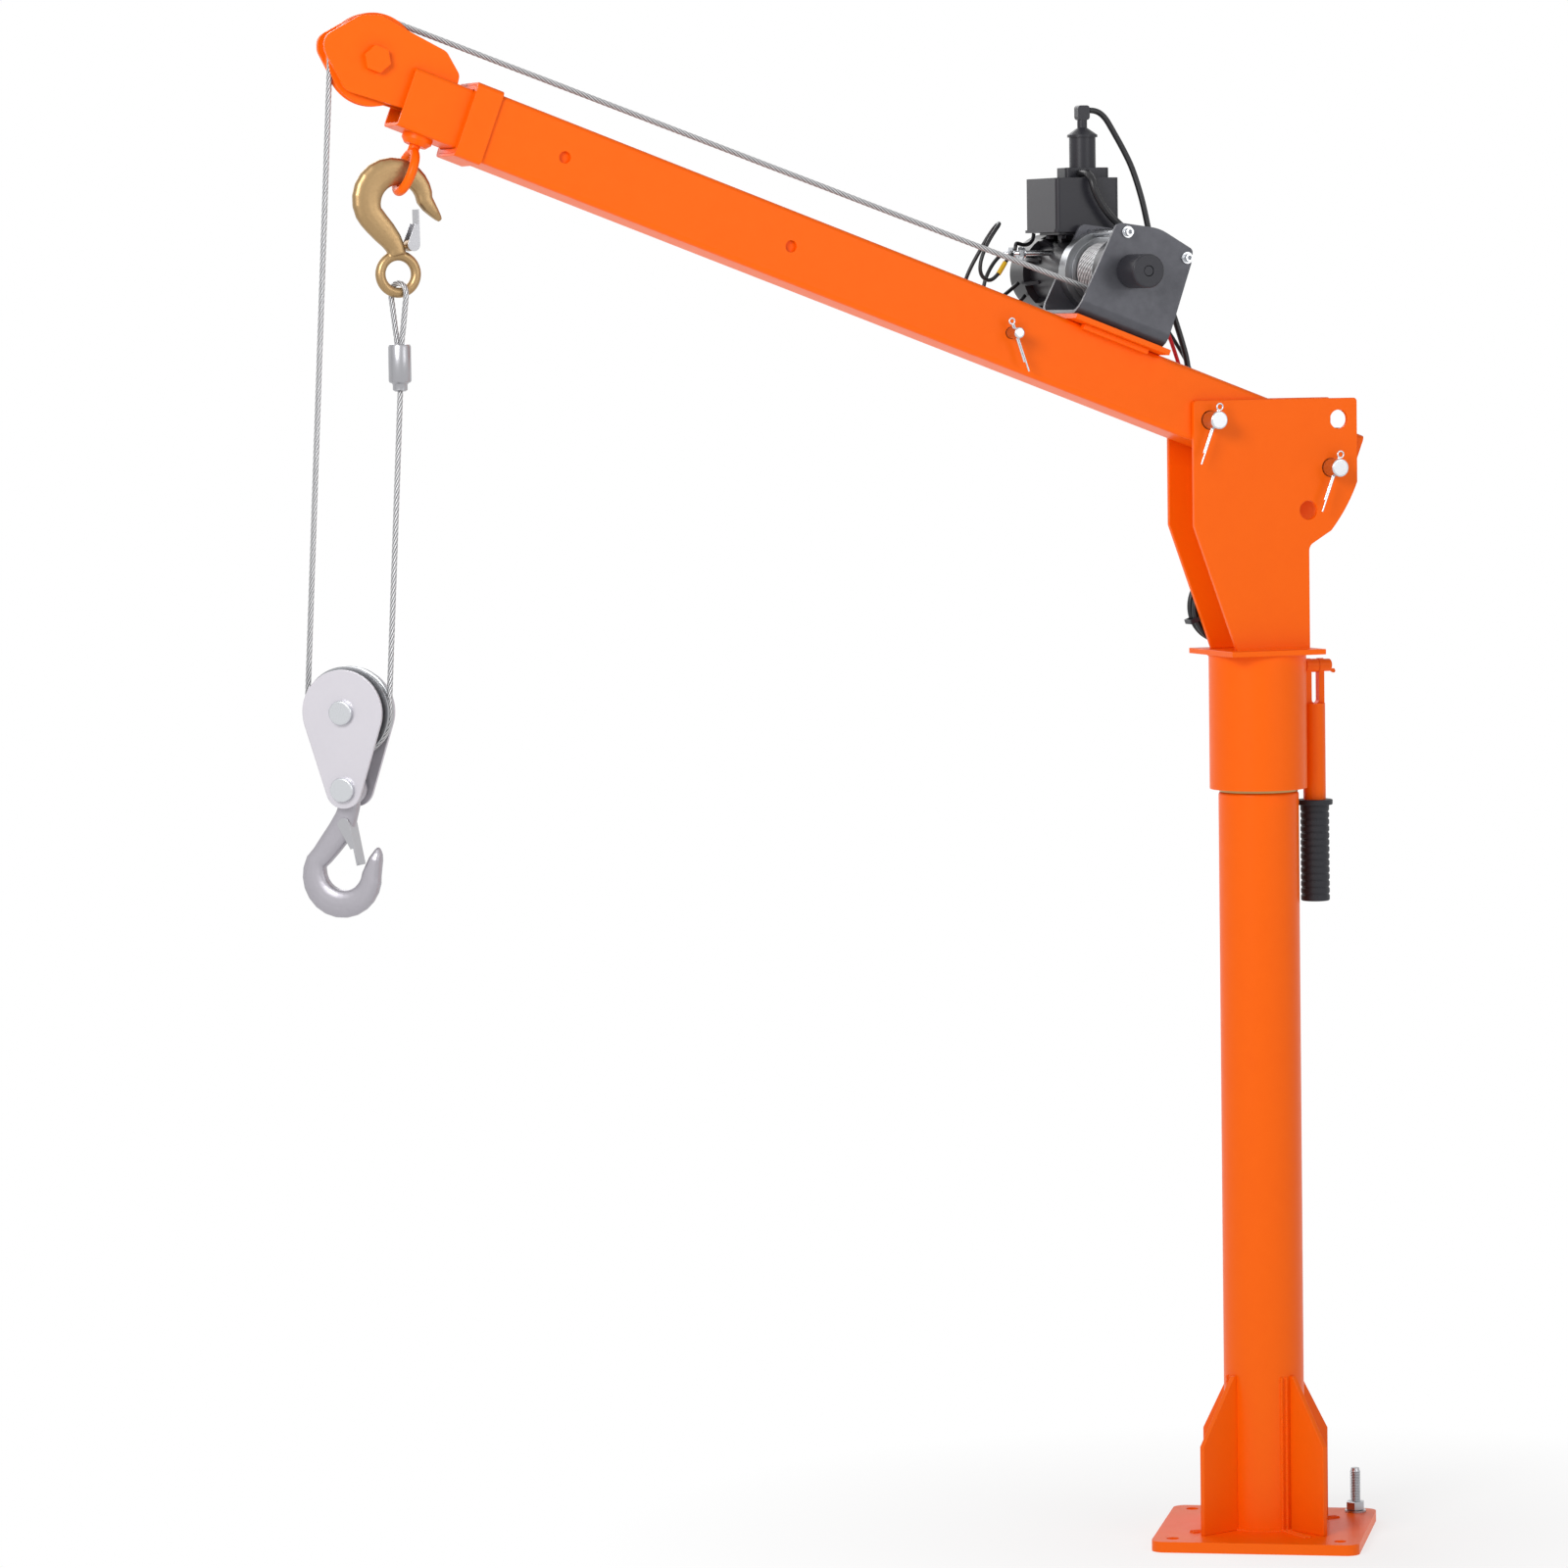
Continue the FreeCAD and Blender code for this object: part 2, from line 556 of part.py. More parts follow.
def rounded_tube(name, wide, high, wall, rounding, start, length):
    """A rounded rectangular tube along the boom."""
    low = S.boom_lift_off - high / 2
    tube = Body(name, BOOM)
    tube.pad("YZ_Plane", rectangle(-wide / 2, low, wide / 2, low + high, rounding)
             + rectangle(wall - wide / 2, low + wall, wide / 2 - wall, low + high - wall,
                         max(rounding - wall, wall / 4)), length, rise=start)
    return tube


def outer_boom():
    """The outer boom with its collar, its stop pin and that pin's cotter."""
    tube = rounded_tube("outer_boom_tube", S.boom_wide, S.boom_high, S.boom_wall, S.boom_round,
                        -S.boom_tail, "boom_tail + boom_front")
    tube.pocket("XZ_Plane", circle(0, 0, (S.head_pin + S.pin_hole_play) / 2))
    for index in range(3):
        tube.pocket("XZ_Plane", circle(S.stop_reach + index * S.stop_pitch, S.boom_lift_off,
                                       (S.stop_pin + S.stop_hole_play) / 2))
    bore = (S.head_pin + S.pin_hole_play) / 2
    full = math.radians(S.lock_step) * 1.3

    def on_slot(share, arm):
        return (-arm * math.cos(full * share), arm * math.sin(full * share))

    tube.pocket("XZ_Plane", outline(on_slot(0, S.lock_arm - bore), ("via", -S.lock_arm, -bore),
                                    on_slot(0, S.lock_arm + bore),
                                    ("via", *on_slot(0.5, S.lock_arm + bore)),
                                    on_slot(1, S.lock_arm + bore), on_slot(1, S.lock_arm - bore),
                                    ("via", *on_slot(0.5, S.lock_arm - bore))))
    for u, w in seat_bolt_places():
        tube.pocket("XY_Plane", circle(u, w, S.seat_bolt / 2 + S.fit_clear), rise=S.boom_lift_off, side=1)
    tube.keep()

    wide = S.boom_wide / 2
    high = S.boom_high / 2
    grow = S.collar_wall
    lift = S.boom_lift_off
    collar = Body("boom_collar", BOOM)
    collar.pad("YZ_Plane", rectangle(-wide - grow, lift - high - grow, wide + grow, lift + high + grow,
                                     S.boom_round)
               + rectangle(-wide, lift - high, wide, lift + high, S.boom_round),
               "collar_length", rise=S.boom_front - S.collar_length).keep()

    spot = BOOM.multVec(Vector(S.stop_reach, 0, lift))
    place = Placement(spot, TOWARDS_NEAR)
    keep("stop_pin", pin("stop_pin", place, S.stop_pin, wide, S.stop_near_reach,
                         S.stop_head / 2, S.stop_head_thick, S.stop_cotter_lean))
    keep("stop_pin_cotter", cotter("stop_cotter", spot.x, spot.z, wide, S.stop_cotter_lean,
                                   S.stop_cotter_share))


# The tip sheave's axle in the boom frame, and the points of the cheeks about it
AXLE = Vector(S.inner_front + S.tip_axle_front, 0, S.boom_lift_off + S.tip_axle_rise)
CHEEK_SHARES = ((1, 0.05, 0.23), (0.5, 0.63, 0.33), (0.16, 0.75, 0.25), (-0.55, 0.65, 0.33),
                (-1.16, 0.58, 0.2), (-1.52, 0.28, 0.16), (-1.55, 0, 0.05), (-1.03, -0.6, 0.05),
                (0.33, -0.7, 0.3), (0.91, -0.18, 0.23))


def inner_boom():
    """The sliding inner boom with the cheeks, the axle bolt and the eye bolt at its tip."""
    rear = S.stop_reach - S.inner_notch
    lift = S.boom_lift_off
    tube = rounded_tube("inner_boom_tube", S.inner_wide, S.inner_high, S.inner_wall, S.inner_round,
                        rear, "inner_front - stop_reach + inner_notch")
    seat = (S.stop_pin + S.stop_hole_play) / 2
    tube.pocket("XZ_Plane", outline((rear - OVERRUN, lift - seat), (S.stop_reach, lift - seat),
                                    ("via", S.stop_reach + seat, lift), (S.stop_reach, lift + seat),
                                    (rear - OVERRUN, lift + seat)))
    inside = (S.cheek_centres - S.cheek_thick) / 2
    outside = inside + S.cheek_thick
    back = AXLE.x + CHEEK_SHARES[6][0] * S.cheek_reach
    mouth = AXLE.x - S.tip_rope_radius - S.tip_sheave_rim - S.cheek_thick / 2
    for side in (-1, 1):
        tube.pocket("XY_Plane", rectangle(back, min(side * inside, side * outside),
                                          mouth, max(side * inside, side * outside)),
                    rise=lift, side=1)
    tube.pocket("XY_Plane", rectangle(mouth, -outside, S.inner_front + OVERRUN, outside),
                rise=lift, side=1)
    tube.keep()

    reach = S.cheek_reach
    edge = outline(*[(AXLE.x + x * reach, AXLE.z + z * reach, r * reach) for x, z, r in CHEEK_SHARES])
    cheeks = []
    for name, face in (("cheek_near", outside), ("cheek_far", -inside)):
        cheek = Body(name, BOOM)
        cheek.pad("XZ_Plane", edge, "cheek_thick", rise=-face)
        cheek.pocket("XZ_Plane", circle(AXLE.x, AXLE.z, S.tip_axle / 2))
        cheeks.append(cheek.body)
    keep("tip_cheeks", group("tip_cheeks", *cheeks))

    towards_near = BOOM.multiply(Placement(AXLE, Rotation(X_AXIS, -90)))
    far = outside + S.tip_head_thick * 1.5
    bolt = Body("tip_bolt_shank", towards_near)
    bolt.turn(outline((0, -far - S.tip_head_thick / 2), (S.tip_axle / 2, -far - S.tip_head_thick / 2, S.pin_round),
                      (S.tip_axle / 2, outside), (0, outside)))
    bolt.pad("XY_Plane", outline(*polygon_points(0, 0, S.tip_hex / math.sqrt(3), 6)),
             "tip_head_thick", rise=outside)
    nut = Body("tip_nut", towards_near)
    nut.pad("XY_Plane", outline(*polygon_points(0, 0, S.tip_hex / math.sqrt(3), 6))
            + circle(0, 0, S.tip_axle / 2), "tip_head_thick * 1.5", rise=-far)
    keep("tip_bolt", group("tip_bolt", bolt.body, nut.body))

    rope = S.tip_rope_radius
    groove = S.rope_thick / 2 + S.rope_gap
    rim = rope + S.tip_sheave_rim
    wide = S.tip_sheave_wide / 2
    web = S.tip_web / 2
    hub = inside - S.swivel_clear
    sheave = Body("tip_sheave", towards_near)
    sheave.turn(outline((S.tip_axle / 2 + S.swivel_clear, -hub), (S.tip_hub / 2, -hub),
                        (S.tip_hub / 2, -web), (rope - 3 * groove, -web), (rope - 2 * groove, -wide),
                        (rim, -wide), (rim, -groove - (rim - rope) / 2), (rope, -groove),
                        ("via", rope - groove, 0), (rope, groove),
                        (rim, groove + (rim - rope) / 2), (rim, wide), (rope - 2 * groove, wide),
                        (rope - 3 * groove, web), (S.tip_hub / 2, web), (S.tip_hub / 2, hub),
                        (S.tip_axle / 2 + S.swivel_clear, hub)))
    sheave.pocket("XY_Plane", ring_of_circles((S.tip_hub / 2 + rope - 3 * groove) / 2,
                                              S.tip_lightening / 2, S.sheave_holes))
    sheave.keep()

    low = lift - S.inner_high / 2
    spot = BOOM.multiply(Placement(Vector(S.inner_front - S.eye_back, 0, low), Rotation(X_AXIS, 180)))
    stem_end = S.eye_boss_high + S.eye_stem_long
    shank = Body("eye_stem", spot)
    shank.turn(outline((0, 0), (S.eye_boss / 2, 0), (S.eye_boss / 2, S.eye_boss_high / 2),
                       (S.eye_stem, S.eye_boss_high), (S.eye_stem / 2, S.eye_boss_high),
                       (S.eye_stem / 2, stem_end + S.eye_rod / 2), (0, stem_end + S.eye_rod / 2)))
    ring = DOC.addObject("Part::Torus", "eye_ring")
    ring.Placement = spot.multiply(Placement(Vector(0, 0, stem_end + S.eye_radius + S.eye_rod / 2),
                                             Rotation(Y_AXIS, 90)))
    bind(ring, Radius1="eye_radius", Radius2="eye_rod / 2")
    keep("eye_bolt", join("eye_bolt", shank.body, ring))


# Levels and places of the winch in the boom's frame
BOOM_TOP = S.boom_lift_off + S.boom_high / 2
SEAT_TOP = BOOM_TOP + S.seat_thick
FLOOR_TOP = SEAT_TOP + S.frame_plate
SEAT_MIDDLE = S.seat_front - S.seat_length / 2
FRAME_HALF = S.frame_wide / 2
FRAME_INSIDE = FRAME_HALF - S.frame_plate
DRUM_HALF = S.drum_width / 2 + S.drum_flange_thick
DRUM = BOOM.multiply(Placement(Vector(S.drum_along, 0, S.drum_rise), Rotation(X_AXIS, -90)))
WINDING_RADIUS = (S.drum_core + S.rope_thick) / 2 + S.winding_play
FRAME_SHARES = ((0, 0, 0), (1, 0, 0), (1, 0.06, 0.02), (0.904, 0.908, 0.07), (0.46, 1, 0.4),
                (0.054, 0.933, 0.05), (0.024, 0.81, 0.05), (0.004, 0.264, 0.05))


def seat_bolt_places():
    """Where the four seat bolts stand, along and across the boom."""
    return [(SEAT_MIDDLE + along * S.seat_bolt_along, across * S.seat_bolt_across)
            for along in (-1, 1) for across in (-1, 1)]


def winch_mount():
    """The seat plate and its strips on the boom, and the winch's folded frame on them."""
    plate = Body("winch_plate", BOOM)
    plate.pad("XY_Plane", rectangle(S.seat_front - S.seat_length, -S.seat_wide / 2,
                                    S.seat_front, S.seat_wide / 2), "seat_thick", rise=BOOM_TOP)
    bolt_hole = S.seat_bolt / 2 + S.fit_clear
    for u, w in seat_bolt_places():
        plate.pocket("XY_Plane", circle(u, w, bolt_hole))
    plate.keep()
    strips = []
    for side in (-1, 1):
        low = S.boom_wide / 2 if side > 0 else -S.boom_wide / 2 - S.rib_wide
        strips.append(brick("seat_strip", "rib_length", "rib_wide", "rib_thick",
                            at(S.rib_front - S.rib_length, low, BOOM_TOP - S.rib_thick, frame=BOOM)))
    keep("winch_plate_ribs", group("winch_plate_ribs", *strips))

    frame = Body("winch_frame", BOOM)
    top = SEAT_TOP + S.frame_high
    bend = S.frame_bend
    frame.pad("YZ_Plane", outline((-FRAME_HALF, top), (-FRAME_HALF, SEAT_TOP, bend),
                                  (FRAME_HALF, SEAT_TOP, bend), (FRAME_HALF, top), (FRAME_INSIDE, top),
                                  (FRAME_INSIDE, FLOOR_TOP, bend - S.frame_plate),
                                  (-FRAME_INSIDE, FLOOR_TOP, bend - S.frame_plate), (-FRAME_INSIDE, top)),
              "frame_long", rise=S.seat_front - S.frame_long)
    back = S.seat_front - S.frame_long
    edge = outline(*[(back + x * S.frame_long, SEAT_TOP + z * S.frame_high, r * S.frame_high)
                     for x, z, r in FRAME_SHARES])
    frame.pocket("XZ_Plane", rectangle(back - OVERRUN, SEAT_TOP - OVERRUN, S.seat_front + OVERRUN,
                                       top + OVERRUN) + edge)
    for u, w in seat_bolt_places():
        frame.pocket("XY_Plane", circle(u, w, bolt_hole))
    frame.pocket("XZ_Plane", circle(S.drum_along, S.drum_rise, S.knob_base / 2 + S.fit_clear))
    for u, v in tie_places():
        frame.pocket("XZ_Plane", circle(u, v, S.tie_bar / 2 + S.fit_clear))
    frame.keep()

    fasteners = []
    for index, (u, v) in enumerate(tie_places()):
        tie = Body("tie_bar_%d" % (index + 1), BOOM.multiply(Placement(Vector(u, 0, v),
                                                                      Rotation(X_AXIS, -90))))
        washer = FRAME_HALF + S.rope_gap * S.tie_head
        end = FRAME_HALF + S.tie_head_high
        half = S.tie_bar / 2
        tie.turn(outline((0, -end), (S.tie_head / 2, -end), (S.tie_head / 2, -washer),
                         (S.tie_washer / 2, -washer), (S.tie_washer / 2, -FRAME_HALF),
                         (half, -FRAME_HALF), (half, FRAME_HALF), (S.tie_washer / 2, FRAME_HALF),
                         (S.tie_washer / 2, washer), (S.tie_head / 2, washer), (S.tie_head / 2, end),
                         (S.tie_head / 4, end), (S.tie_head / 4, washer), (0, washer)))
        fasteners.append(tie.body)
    for index, (u, w) in enumerate(seat_bolt_places()):
        bolt = Body("seat_bolt_%d" % (index + 1), at(u, w, 0, frame=BOOM))
        half = S.seat_bolt / 2
        low = BOOM_TOP - S.boom_wall - S.seat_bolt_end
        bolt.turn(rectangle(0, low, half, FLOOR_TOP))
        bolt.pad("XY_Plane", outline(*polygon_points(0, 0, S.seat_bolt_head / math.sqrt(3), 6)),
                 "seat_bolt_high", rise=FLOOR_TOP)
        fasteners.append(bolt.body)
    keep("winch_fasteners", group("winch_fasteners", *fasteners))


def tie_places():
    """Where the two tie bars cross the winch frame."""
    return [(S.tie_front_along, S.tie_front_rise), (S.tie_back_along, S.tie_back_rise)]


def winch():
    """The drum between its ring and the gearbox, the clutch knob and the motor."""
    face = DRUM_HALF + S.drum_play
    core = S.drum_core / 2
    flange = S.drum_flange / 2
    ring_bore = S.ring_inner / 2
    journal = S.drum_journal / 2
    bore = S.drum_bore / 2
    play = S.swivel_clear
    cap = FRAME_INSIDE - S.frame_plate
    Body("winch_drum", DRUM).turn(outline(
        (bore, play - FRAME_INSIDE), (ring_bore - play, play - FRAME_INSIDE),
        (ring_bore - play, -DRUM_HALF), (flange, -DRUM_HALF), (flange, -S.drum_width / 2),
        (core, -S.drum_width / 2), (core, S.drum_width / 2), (flange, S.drum_width / 2),
        (flange, DRUM_HALF), (journal - play, DRUM_HALF), (journal - play, cap - play),
        (bore, cap - play))).keep()
    ring = Body("drum_ring", DRUM)
    ring.turn(rectangle(ring_bore, -FRAME_INSIDE, S.ring_outer / 2, -face))
    ring.pocket("XY_Plane", circle(S.tie_front_along - S.drum_along, S.drum_rise - S.tie_front_rise,
                                   S.tie_bar / 2 + S.fit_clear))
    ring.keep()

    neck = S.knob_base / 2
    post = neck - S.knob_play
    Body("gearbox_housing", DRUM).turn(outline(
        (journal, face), (S.gear_outer / 2, face), (S.gear_outer / 2, FRAME_INSIDE), (neck, FRAME_INSIDE),
        (neck, FRAME_HALF), (post, FRAME_HALF), (post, FRAME_HALF + S.knob_base_high),
        (0, FRAME_HALF + S.knob_base_high), (0, cap), (journal, cap))).keep()
    start = FRAME_HALF + S.knob_play
    end = FRAME_HALF + S.knob_reach
    outer = S.knob_outer / 2
    Body("clutch_knob", DRUM).turn(outline(
        (neck, start), (outer, start), (outer, end, S.knob_round), (S.knob_button / 2 + S.knob_play, end),
        (S.knob_button / 2 + S.knob_play, end - S.knob_round), (S.knob_button / 2, end - S.knob_round),
        (S.knob_button / 2, end + S.knob_button_high - S.knob_round, S.knob_button_high / 2),
        (0, end + S.knob_button_high - S.knob_round),
        (0, FRAME_HALF + S.knob_base_high + S.knob_play),
        (neck, FRAME_HALF + S.knob_base_high + S.knob_play))).keep()

    can = S.motor_outer / 2
    back = -FRAME_HALF - S.motor_length
    inner = can - S.motor_wall
    Body("motor_can", DRUM).turn(rectangle(inner, back, can, -FRAME_HALF)).keep()
    bell = Body("motor_end_bell", DRUM)
    far = back - S.bell_length
    rim = S.bell_outer / 2
    bell.turn(outline((0, far), (rim, far, S.bell_round), (rim, back), (inner, back),
                      (inner, far + S.bell_wall), (0, far + S.bell_wall)))
    fin = outline((can, back), (rim, back), (rim, back + S.bell_rib_long / 2),
                  (can + S.bell_rib_thick / 2, back + S.bell_rib_long), (can, back + S.bell_rib_long))
    for index in range(int(S.bell_ribs)):
        bell.pad("XZ_Plane", fin, "bell_rib_thick", middle=True, turn=360.0 * index / S.bell_ribs)
    bell.keep()


def terminal_places():
    """The foot of each motor terminal on the can."""
    middle = DRUM.Base
    return [Vector(middle.x, FRAME_HALF + S.terminal_start + index * S.terminal_gap,
                   middle.z + S.terminal_rise) for index in range(2)]


def relay():
    """The relay box over the motor, its bracket, its socket and the plug of the lead."""
    low = S.relay_bottom
    high = low + S.relay_high
    left = -S.relay_front
    right = left + S.relay_along
    near = S.relay_far
    far = near + S.relay_across
    lip = S.relay_lip / 2
    box = Body("relay_box")
    box.pad("XY_Plane", rectangle(left, near, right, far, S.relay_round), "relay_high", rise=low)
    box.pad("XY_Plane", rectangle(left - lip, near, right + lip, far + lip, S.relay_round),
            "relay_lip", rise=low)
    box.keep()

    middle = DRUM.Base
    start = near + S.bracket_edge
    plate = brick("bracket_plate", "bracket_long", "bracket_wide", "bracket_thick",
                  at(left + S.bracket_edge, start, low - S.bracket_thick))
    foot = low - S.bracket_thick - middle.z
    saddles = []
    for side in (start, start + S.bracket_wide - S.saddle_wide):
        saddle = Body("bracket_saddle", at(middle.x, side, middle.z))
        saddle.pad("XY_Plane", rectangle(-S.saddle_long / 2, 0, S.saddle_long / 2, S.saddle_wide),
                   "relay_bottom - bracket_thick - %r" % (middle.z + S.motor_outer / 4),
                   rise=S.motor_outer / 4)
        saddles.append(saddle.body)
    can = bar("bracket_can", "motor_outer / 2", "motor_length", DRUM.multiply(
        Placement(Vector(0, 0, -FRAME_HALF - S.motor_length), Rotation())))
    bracket = cut("bracket_bent", join("bracket_blank", plate, *saddles), can)
    screws = []
    for index, spot in enumerate((start + S.saddle_wide, start + S.bracket_wide - S.saddle_wide)):
        screw = Body("bracket_screw_%d" % (index + 1),
                     at(left + S.bracket_edge + S.bracket_screw_head, spot, low - S.bracket_thick,
                        axis=X_AXIS, turn=180))
        screw.pad("XY_Plane", outline(*polygon_points(0, 0, S.bracket_screw_head / math.sqrt(3), 6)),
                  "bracket_screw")
        screws.append(screw.body)
    keep("relay_bracket", group("relay_bracket", bracket, *screws))

    middle = at(-S.plug_back, S.plug_far, high)
    socket = Body("lead_socket", middle)
    socket.pad("XY_Plane", rectangle(-S.socket_along / 2, -S.socket_across / 2, S.socket_along / 2,
                                     S.socket_across / 2, S.relay_round), "socket_high").keep()
    plug = Body("lead_plug", middle)
    base_level = S.socket_high
    body_top = base_level + S.plug_length
    cap_top = body_top + S.plug_cap_high
    neck_top = cap_top + S.plug_neck_high
    plug.turn(outline((0, base_level), (S.plug_outer / 2, base_level), (S.plug_outer / 2, body_top),
                      (S.plug_cap / 2, body_top), (S.plug_cap / 2, body_top + S.plug_cap_high / 4),
                      (S.plug_neck / 2, cap_top), (S.plug_neck / 2, neck_top), (0, neck_top)))
    knot = S.plug_knot / 2
    plug.pad("XZ_Plane", rectangle(-knot, neck_top - knot / 2, knot, neck_top + knot * 1.8, knot / 2),
             "plug_neck", middle=True)
    plug.keep()


def route(points, share=0.45):
    """The runs and the tangent arcs of a cord's path, and its least radius."""
    edges = []
    radii = []
    last = points[0]
    for before, here, after in zip(points, points[1:], points[2:]):
        back = before - here
        ahead = after - here
        shorter = min(back.Length, ahead.Length) * share
        back.normalize()
        ahead.normalize()
        turn = math.pi - back.getAngle(ahead)
        radius = shorter / math.tan(turn / 2)
        radii.append(radius)
        inward = (back + ahead).normalize()
        start = here + back * shorter
        end = here + ahead * shorter
        middle = here + inward * (math.hypot(radius, shorter) - radius)
        edges += [Part.LineSegment(last, start).toShape(), Part.Arc(start, middle, end).toShape()]
        last = end
    edges.append(Part.LineSegment(last, points[-1]).toShape())
    return edges, radii


def pipe(edges, thick):
    """A round tube along a path of runs and arcs."""
    path = Part.Wire(edges)
    first = edges[0]
    start = first.valueAt(first.FirstParameter)
    heading = first.tangentAt(first.FirstParameter)
    section = Part.Wire(Part.Circle(start, heading, thick / 2).toShape())
    shape = path.makePipeShell([section], True, False)
    expected = math.pi * thick * thick / 4 * path.Length
    if abs(shape.Volume / expected - 1) > 0.02:
        raise RuntimeError("a tube's volume is off by more than a fiftieth")
    return shape


def cord(name, thick, points):
    """A cord's tube along hand-chosen points, printing its radii and its length."""
    edges, radii = route([Vector(*point) for point in points])
    length = sum(edge.Length for edge in edges)
    print("%s: %.0f mm, radii %s" % (name, length, " ".join("%.0f" % radius for radius in radii)))
    return pipe(edges, thick)


def biarc(first, first_way, last, last_way):
    """Two tangent arcs between two points with given unit directions."""
    gap = last - first
    ways = first_way + last_way
    ahead = gap.dot(ways)
    spread = 2 * (1 - first_way.dot(last_way))
    reach = (-ahead + math.sqrt(ahead * ahead + spread * gap.dot(gap))) / spread
    middle = (first + last + (first_way - last_way) * reach) / 2
    through = arc_middle(first, first_way, middle)
    backwards = arc_middle(last, last_way * -1, middle)
    return [Part.Arc(first, through, middle).toShape(), Part.Arc(middle, backwards, last).toShape()]


def arc_middle(start, way, end):
    """The middle point of the arc from start, where it heads way, to end."""
    chord = end - start
    along = way * way.dot(chord)
    across = chord - along
    angle = math.atan2(across.Length, along.Length if way.dot(chord) > 0 else -along.Length)
    side = across / across.Length
    half = chord.Length / (2 * math.cos(angle / 2))
    return start + (way * math.cos(angle / 2) + side * math.sin(angle / 2)) * half


def unit(vector):
    """A vector's direction."""
    return Vector(vector).normalize()


# The rope's straight top run touches the drum's underside and the tip sheave's top
RUN = Vector(AXLE.x - S.drum_along, 0, AXLE.z - S.drum_rise)
RUN_ANGLE = math.atan2(RUN.z, RUN.x) + math.asin((WINDING_RADIUS + S.tip_rope_radius) / RUN.Length)
WINDING_STEP = (S.drum_width - S.rope_thick - 2 * S.winding_play) / S.winding_turns
WINDING_NEAR = (S.drum_width - S.rope_thick) / 2 - S.winding_play


def on_winding(angle):
    """A point of the winding and its heading, by the angle wound back from the leaving point."""
    turned = angle - RUN_ANGLE
    climb = WINDING_STEP / (2 * math.pi)
    point = Vector(S.drum_along - WINDING_RADIUS * math.sin(turned), WINDING_NEAR - climb * angle,
                   S.drum_rise - WINDING_RADIUS * math.cos(turned))
    way = Vector(WINDING_RADIUS * math.cos(turned), climb, -WINDING_RADIUS * math.sin(turned))
    return BOOM.multVec(point), unit(BOOM.Rotation.multVec(way))


# World points of the rope's way
TIP = BOOM.multVec(AXLE)
BLOCK = Placement(Vector(S.block_shift, 0, S.block_level), Rotation(Z_AXIS, S.block_turn))
HOIST_FOOT = BLOCK.multVec(Vector(-S.block_rope_radius, 0, 0))
RETURN_FOOT = BLOCK.multVec(Vector(S.block_rope_radius, 0, 0))
RING_FOOT = BOOM.multVec(Vector(S.inner_front - S.eye_back, 0,
                                S.boom_lift_off - S.inner_high / 2 - S.eye_boss_high - S.eye_stem_long
                                - S.eye_rod / 2 - 2 * S.eye_radius))
LINE_EYE = Vector(S.line_shift, 0, RING_FOOT.z + S.eye_rod / 2 + S.ring_clear
                  - S.line_hole_drop - S.line_bowl)
LINE = Placement(LINE_EYE, Rotation(X_AXIS, 180))
FERRULE_TOP = LINE_EYE.z - S.ferrule_drop
FERRULE_FOOT = FERRULE_TOP - S.ferrule_length - S.ferrule_collar_length
SPLIT_LEVEL = RING_FOOT.z


def straight(first, last):
    """A straight run of rope that stops just short of what it meets at both ends."""
    short = unit(last - first) * S.rope_joint
    return Part.LineSegment(first + short, last - short).toShape()


